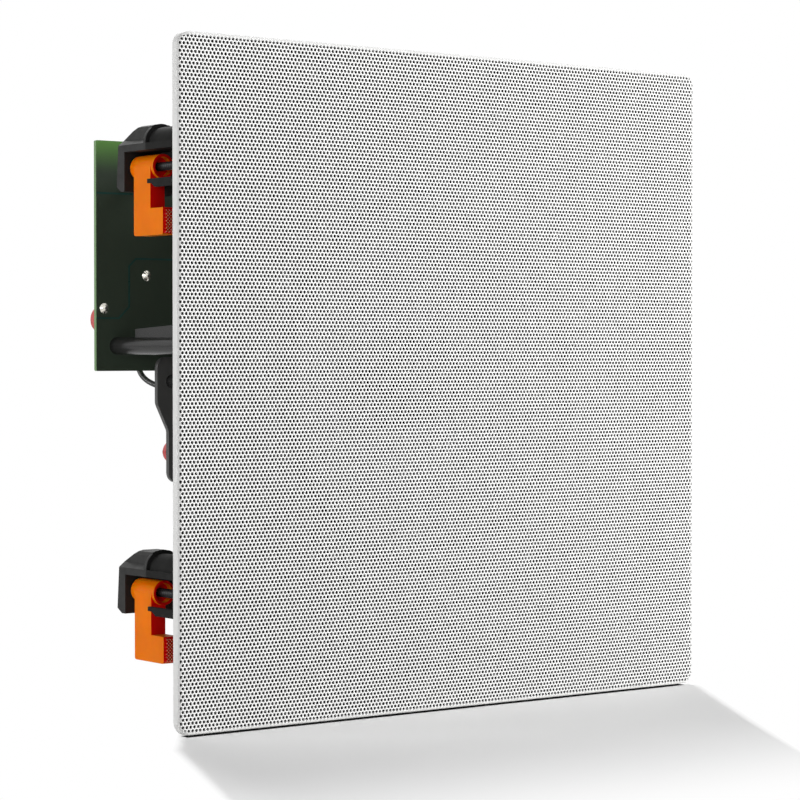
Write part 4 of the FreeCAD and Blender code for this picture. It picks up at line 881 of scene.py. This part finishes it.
def make_pad(number):
    """Raised diamonds on the front of a dog's foot, which bite into the ceiling board."""
    low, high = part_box(f"clamp_screw_{number}")
    x, z = axis_of(low, high)
    turn = 1 if number in LEFT_CLAMPS else -1
    left = -ARM_OUTER + PAD_MARGIN
    width = ARM_OUTER + ARM_INNER - 2 * PAD_MARGIN
    bottom = -ARM_LENGTH + PAD_MARGIN
    height = FOOT_LENGTH - 2 * PAD_MARGIN
    step_x = width / PAD_COLUMNS
    step_z = height / PAD_ROWS
    points = []
    faces = []
    spots = [(column + 0.5, row + 0.5) for row in range(PAD_ROWS) for column in range(PAD_COLUMNS)]
    spots += [(column, row) for row in range(1, PAD_ROWS) for column in range(1, PAD_COLUMNS)]
    for column, row in spots:
        first = len(points)
        for share, depth in PAD_STEPS:
            for across, up in DIAMOND:
                spot_x = left + (column + across * share) * step_x
                spot_z = bottom + (row + up * share) * step_z
                points.append((x + turn * spot_x, FOOT_FRONT + depth, z + turn * spot_z))
        sides = len(DIAMOND)
        top = len(points) - sides
        for here in range(first, top, sides):
            faces.extend(belt(here, here + sides, sides))
        faces.append(tuple(range(top, top + sides)))
        faces.append(tuple(reversed(range(first, first + sides))))
    grip = f"clamp_grip_{number}"
    piece(f"dog_knurl_{number}", points, faces, "clamp_orange", grip, material=materials["clamp_knurl"])


# Driver


def sheet_sectors(name, front, sheet, sectors, steps, slot):
    """Sectors of a thin turned sheet that follow the cone inside and the basket outside."""
    back = [(radius, place + sheet) for radius, place in reversed(front)]
    section = front + back + front[:1]
    sweep = TURN / sectors
    for sector in range(sectors):
        first = sector * sweep
        points, faces = turned(section, steps, first=first, sweep=sweep)
        made = piece(f"{name}_{sector + 1}", points, faces, slot, None, smooth=DRIVER_CREASE)
        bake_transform(made)
        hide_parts(name)


def make_surround():
    """Half-roll of rubber between the cone and the basket."""
    face = SURROUND_BASE - SURROUND_SHEET
    front = [(SURROUND_EDGES[0], face)]
    for step in range(ROLL_STEPS + 1):
        angle = math.pi * (1 - step / ROLL_STEPS)
        radius = ROLL_MIDDLE + ROLL_RADIUS * math.cos(angle)
        front.append((radius, face - (ROLL_RADIUS - SURROUND_SHEET) * math.sin(angle)))
    front.append((SURROUND_EDGES[1], face))
    sheet_sectors(
        "surround", front, SURROUND_SHEET, SURROUND_SECTORS, SURROUND_STEPS,
        slot="rubber",
    )


def make_spider():
    """Waved cloth between the coil and the basket."""
    inside, outside = SPIDER_EDGES
    steps = SPIDER_WAVES * WAVE_STEPS
    front = []
    for step in range(steps + 1):
        share = step / steps
        wave = SPIDER_LIFT * (1 - math.cos(TURN * SPIDER_WAVES * share)) / 2
        front.append((inside + (outside - inside) * share, SPIDER_SHELF - SPIDER_SHEET - wave))
    sheet_sectors(
        "spider", front, SPIDER_SHEET, SPIDER_SECTORS, SPIDER_STEPS,
        slot="spider_cloth",
    )


# Crossover board
CORE_RADIUS = 7.0
TURN_STEPS = 6
WINDING_SEGMENTS = 56
WINDING_CREASE = 70


def make_winding(name, wire):
    """Layers of round wire in place of a plain coil."""
    low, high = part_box(f"{name}_winding")
    x, z = axis_of(low, high)
    start = low.y / MM
    end = high.y / MM
    radius = (high.x - low.x) / 2 / MM
    turns = int((end - start) / wire)
    width = (end - start) / turns
    section = [(CORE_RADIUS, start)]
    for turn in range(turns):
        for step in range(TURN_STEPS):
            angle = math.pi * (step + 0.5) / TURN_STEPS
            depth = start + (turn + 0.5 - 0.5 * math.cos(angle)) * width
            section.append((radius - width / 2 + width / 2 * math.sin(angle), depth))
    section.append((CORE_RADIUS, end))
    points, faces = turned(section, WINDING_SEGMENTS, x, z)
    coil = piece(f"{name}_turns", points, faces, "copper", "frame", smooth=WINDING_CREASE)
    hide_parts(f"{name}_winding")


BOARD_FRONT = 84.2
TRACE_WIDTH = 0.7
TRACE_HEIGHT = 0.05
LEAST_MITRE = 0.3
TRACES = (
    ((-106.1, 72.5), (-92.1, 72.5), (-60.0, 72.5)),
    ((-40.0, 47.5), (-88.5, 47.5), (-91.6, 44.6), (-91.6, 28.8), (-96.2, 24.4), (-106.1, 24.4)),
    ((-20.0, 12.0), (-20.0, 34.0), (4.0, 58.0), (4.0, 90.0)),
    ((52.0, 6.0), (52.0, 38.0), (66.0, 52.0), (106.1, 52.0)),
)


def make_traces():
    """Gaps between the copper areas, which show through the solder mask as fine lines."""
    points = []
    faces = []
    for route in TRACES:
        line = [Vector(spot) for spot in route]
        sides = []
        for k, spot in enumerate(line):
            into = (spot - line[k - 1]).normalized() if k else (line[1] - spot).normalized()
            out = (line[k + 1] - spot).normalized() if k + 1 < len(line) else into
            along = (into + out).normalized()
            normal = Vector((-along.y, along.x))
            reach = TRACE_WIDTH / 2 / max(LEAST_MITRE, along.dot(into))
            sides.append((spot + normal * reach, spot - normal * reach))
        first = len(points)
        for one, two in sides:
            for depth in (BOARD_FRONT - TRACE_HEIGHT, BOARD_FRONT):
                points.append((one.x, depth, one.y))
                points.append((two.x, depth, two.y))
        for k in range(len(sides) - 1):
            here = first + 4 * k
            there = here + 4
            faces.append((here, there, there + 1, here + 1))
            faces.append((here + 2, here + 3, there + 3, there + 2))
            faces.append((here, here + 2, there + 2, there))
            faces.append((here + 1, there + 1, there + 3, here + 3))
        last = first + 4 * (len(sides) - 1)
        faces.append((first, first + 1, first + 3, first + 2))
        faces.append((last, last + 2, last + 3, last + 1))
    piece("board_traces", points, faces, "board_green", "frame", material=materials["board_trace"])


# Leads
LEAD_RADIUS = 1.1
LEAD_STEPS = 16
LEAD_ORDER = 3
LEAD_ROUNDNESS = 4
LEADS = {
    "terminal_lead_black": (
        "wire_black", ((-84.3, 89.3, 7.0), (-84.3, 89.3, 0.5), (-77.8, 71.2, -4.0), (-77.8, 71.2, -17.0)),
    ),
    "terminal_lead_red": (
        "wire_red", ((-71.8, 89.3, 7.0), (-71.8, 89.3, 0.5), (-59.9, 71.2, -4.0), (-59.9, 71.2, -17.0)),
    ),
    "woofer_lead_left": ("wire_black", ((-6.0, 84.2, 54.0), (-6.0, 45.2, 54.0), (-6.0, 45.2, 45.4))),
    "woofer_lead_right": ("wire_red", ((6.0, 84.2, 54.0), (6.0, 45.2, 54.0), (6.0, 45.2, 45.4))),
}


def spline_length(made):
    outline = bpy.data.meshes.new_from_object(made)
    places = [point.co for point in outline.vertices]
    length = sum((b - a).length for a, b in zip(places, places[1:]))
    bpy.data.meshes.remove(outline)
    return length


def make_leads():
    for name, (slot, route) in LEADS.items():
        curve = bpy.data.curves.new(f"{name}_wire", "CURVE")
        curve.dimensions = "3D"
        curve.resolution_u = LEAD_STEPS
        line = curve.splines.new("NURBS")
        line.points.add(len(route) - 1)
        for point, spot in zip(line.points, route):
            point.co = (*(MM * c for c in spot), 1.0)
        line.order_u = LEAD_ORDER
        line.use_endpoint_u = True
        made = bpy.data.objects.new(curve.name, curve)
        bpy.context.scene.collection.objects.link(made)
        bpy.context.view_layer.update()
        length = spline_length(made)
        curve.bevel_depth = LEAD_RADIUS * MM
        curve.bevel_resolution = LEAD_ROUNDNESS
        curve.materials.append(materials[slot])
        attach(made, "frame")
        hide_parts(name)


# Stage
FLOOR_Z = -0.1257
FLOOR_HALF = 6.0
FLOOR_GLOW = 0.12
FLOOR_COLOR = (0.8, 0.8, 0.8, 1.0)
FLOOR_ROUGH = 0.9
PURE_WHITE = (1.0, 1.0, 1.0, 1.0)
WORLD_LIGHT = 0.08
SHADOW_LINES = ((-0.125, 0.432, -1), (-0.118, 0.7, -1), (0.125, 0.64, 1))
SHADOW_EDGE = 0.006
SHADOW_FADE = (-0.07, -0.22)
SHADOW_END = (0.12, 0.35)
# Painted contact shadow: a dark strip on the floor under the speaker's bottom edge.
CONTACT_SHADOW_HALF = 0.121
CONTACT_SHADOW_LIFT = 0.0001
CONTACT_SHADOW_COLOR = (0.03, 0.03, 0.03, 1.0)
CONTACT_SHADOW_DEPTH = (-0.0034, 0.0012)


def level_plane(name, half, depth, z):
    """A level rectangle that belongs to the stage."""
    mesh = bpy.data.meshes.new(name)
    corners = [(-half, depth[0], z), (half, depth[0], z), (half, depth[1], z), (-half, depth[1], z)]
    mesh.from_pydata(corners, [], [(0, 1, 2, 3)])
    made = bpy.data.objects.new(name, mesh)
    bpy.context.scene.collection.objects.link(made)
    return mesh


def beyond_shadow(tree):
    """0 in the shadow before and under the speaker, 1 on the white floor round it."""
    spot = parted(tree, object_space(tree))
    before = smooth_step(tree, spot["Y"], *SHADOW_FADE)
    behind = smooth_step(tree, spot["Y"], *SHADOW_END)
    pale = larger(tree, before, behind)
    for corner, slant, side in SHADOW_LINES:
        across = add(tree, "ShaderNodeMath", operation="MULTIPLY_ADD")
        across.inputs[1].default_value = -slant
        tree.links.new(spot["Y"], across.inputs[0])
        tree.links.new(spot["X"], across.inputs[2])
        edge = smooth_step(tree, across.outputs[0], corner, corner + side * SHADOW_EDGE)
        pale = larger(tree, pale, edge)
    return pale


def make_stage():
    """A white floor with the speaker's shadow before it, and a painted contact shadow, a dark strip, where
    the two meet.
    """
    mesh = level_plane("floor", FLOOR_HALF, (-FLOOR_HALF, FLOOR_HALF), FLOOR_Z)
    material, tree, shader = node_tree("floor")
    shader.inputs["Base Color"].default_value = FLOOR_COLOR
    shader.inputs["Roughness"].default_value = FLOOR_ROUGH
    shader.inputs["Specular IOR Level"].default_value = 0.0
    shader.inputs["Emission Color"].default_value = PURE_WHITE
    path = tree.nodes.new("ShaderNodeLightPath")
    camera = path.outputs["Is Camera Ray"]
    glow = calculated(tree, "MULTIPLY", larger(tree, camera, path.outputs["Is Glossy Ray"]), FLOOR_GLOW)
    tree.links.new(glow, shader.inputs["Emission Strength"])
    seen = calculated(tree, "MULTIPLY", beyond_shadow(tree), camera)
    white = add(tree, "ShaderNodeEmission", Strength=1.0)
    mixed = add(tree, "ShaderNodeMixShader")
    tree.links.new(seen, mixed.inputs["Fac"])
    tree.links.new(shader.outputs[0], mixed.inputs[1])
    tree.links.new(white.outputs[0], mixed.inputs[2])
    tree.links.new(mixed.outputs[0], tree.nodes["Material Output"].inputs["Surface"])
    mesh.materials.append(material)
    # Painted shadow: a dark strip under the speaker's bottom edge.
    painted_contact_shadow = level_plane("painted_contact_shadow", CONTACT_SHADOW_HALF, CONTACT_SHADOW_DEPTH, FLOOR_Z + CONTACT_SHADOW_LIFT)
    material, tree, shader = node_tree("painted_contact_shadow")
    shader.inputs["Base Color"].default_value = CONTACT_SHADOW_COLOR
    shader.inputs["Roughness"].default_value = 1.0
    shader.inputs["Specular IOR Level"].default_value = 0.0
    painted_contact_shadow.materials.append(material)


def make_world():
    """White to the camera and in reflections, dim as a source of light."""
    world = bpy.data.worlds.new("studio")
    world.use_nodes = True
    tree = world.node_tree
    background = tree.nodes["Background"]
    background.inputs["Color"].default_value = PURE_WHITE
    path = tree.nodes.new("ShaderNodeLightPath")
    through = larger(tree, path.outputs["Is Glossy Ray"], path.outputs["Is Transmission Ray"])
    seen = larger(tree, path.outputs["Is Camera Ray"], through)
    tree.links.new(ranged(tree, seen, WORLD_LIGHT, 1.0, 0.0, 1.0), background.inputs["Strength"])
    bpy.context.scene.world = world


def lamp(name, place, target, size, power):
    light = bpy.data.lights.new(name, "AREA")
    light.shape = "DISK"
    light.size = size
    light.energy = power
    made = bpy.data.objects.new(name, light)
    made.location = place
    made.rotation_euler = (Vector(target) - Vector(place)).to_track_quat("-Z", "Y").to_euler()
    bpy.context.scene.collection.objects.link(made)


# Name, place, target, size and power of each lamp
LAMPS = (
    ("front", (1.20, -1.32, 0.78), (0.0, 0.0, 0.0), 0.8, 21.8),
    ("low", (1.45, -1.40, 0.10), (0.0, 0.0, -0.08), 0.4, 33.0),
    ("fill", (-1.3, -1.0, 0.25), (-0.1, 0.04, 0.0), 0.6, 3.6),
    ("left", (-1.5, 0.6, 0.25), (0.0, 0.03, 0.0), 0.6, 9.6),
    ("back", (0.36, 1.15, 1.40), (0.0, 0.0, -0.1), 0.4, 22.0),
)


def make_lights():
    for row in LAMPS:
        lamp(*row)


LENS = 117.3
SENSOR = 36.0
CAMERA_PLACE = (-0.620, -0.7843, 0.0118)
CAMERA_FORWARD = (0.6052, 0.796, -0.01888)


def make_camera():
    camera = bpy.data.cameras.new("camera")
    camera.sensor_width = SENSOR
    camera.lens = LENS
    made = bpy.data.objects.new("camera", camera)
    made.location = CAMERA_PLACE
    made.rotation_euler = Vector(CAMERA_FORWARD).to_track_quat("-Z", "Y").to_euler()
    bpy.context.scene.collection.objects.link(made)
    bpy.context.scene.camera = made


clear_default()
make_grille()
for clamp in CLAMPS:
    make_screw(clamp)
    make_pad(clamp)
make_surround()
make_spider()
make_winding("woofer_inductor", wire=1.0)
make_winding("tweeter_inductor", wire=0.7)
make_traces()
make_leads()
make_stage()
make_world()
make_lights()
make_camera()
bpy.context.scene.view_settings.view_transform = "Standard"
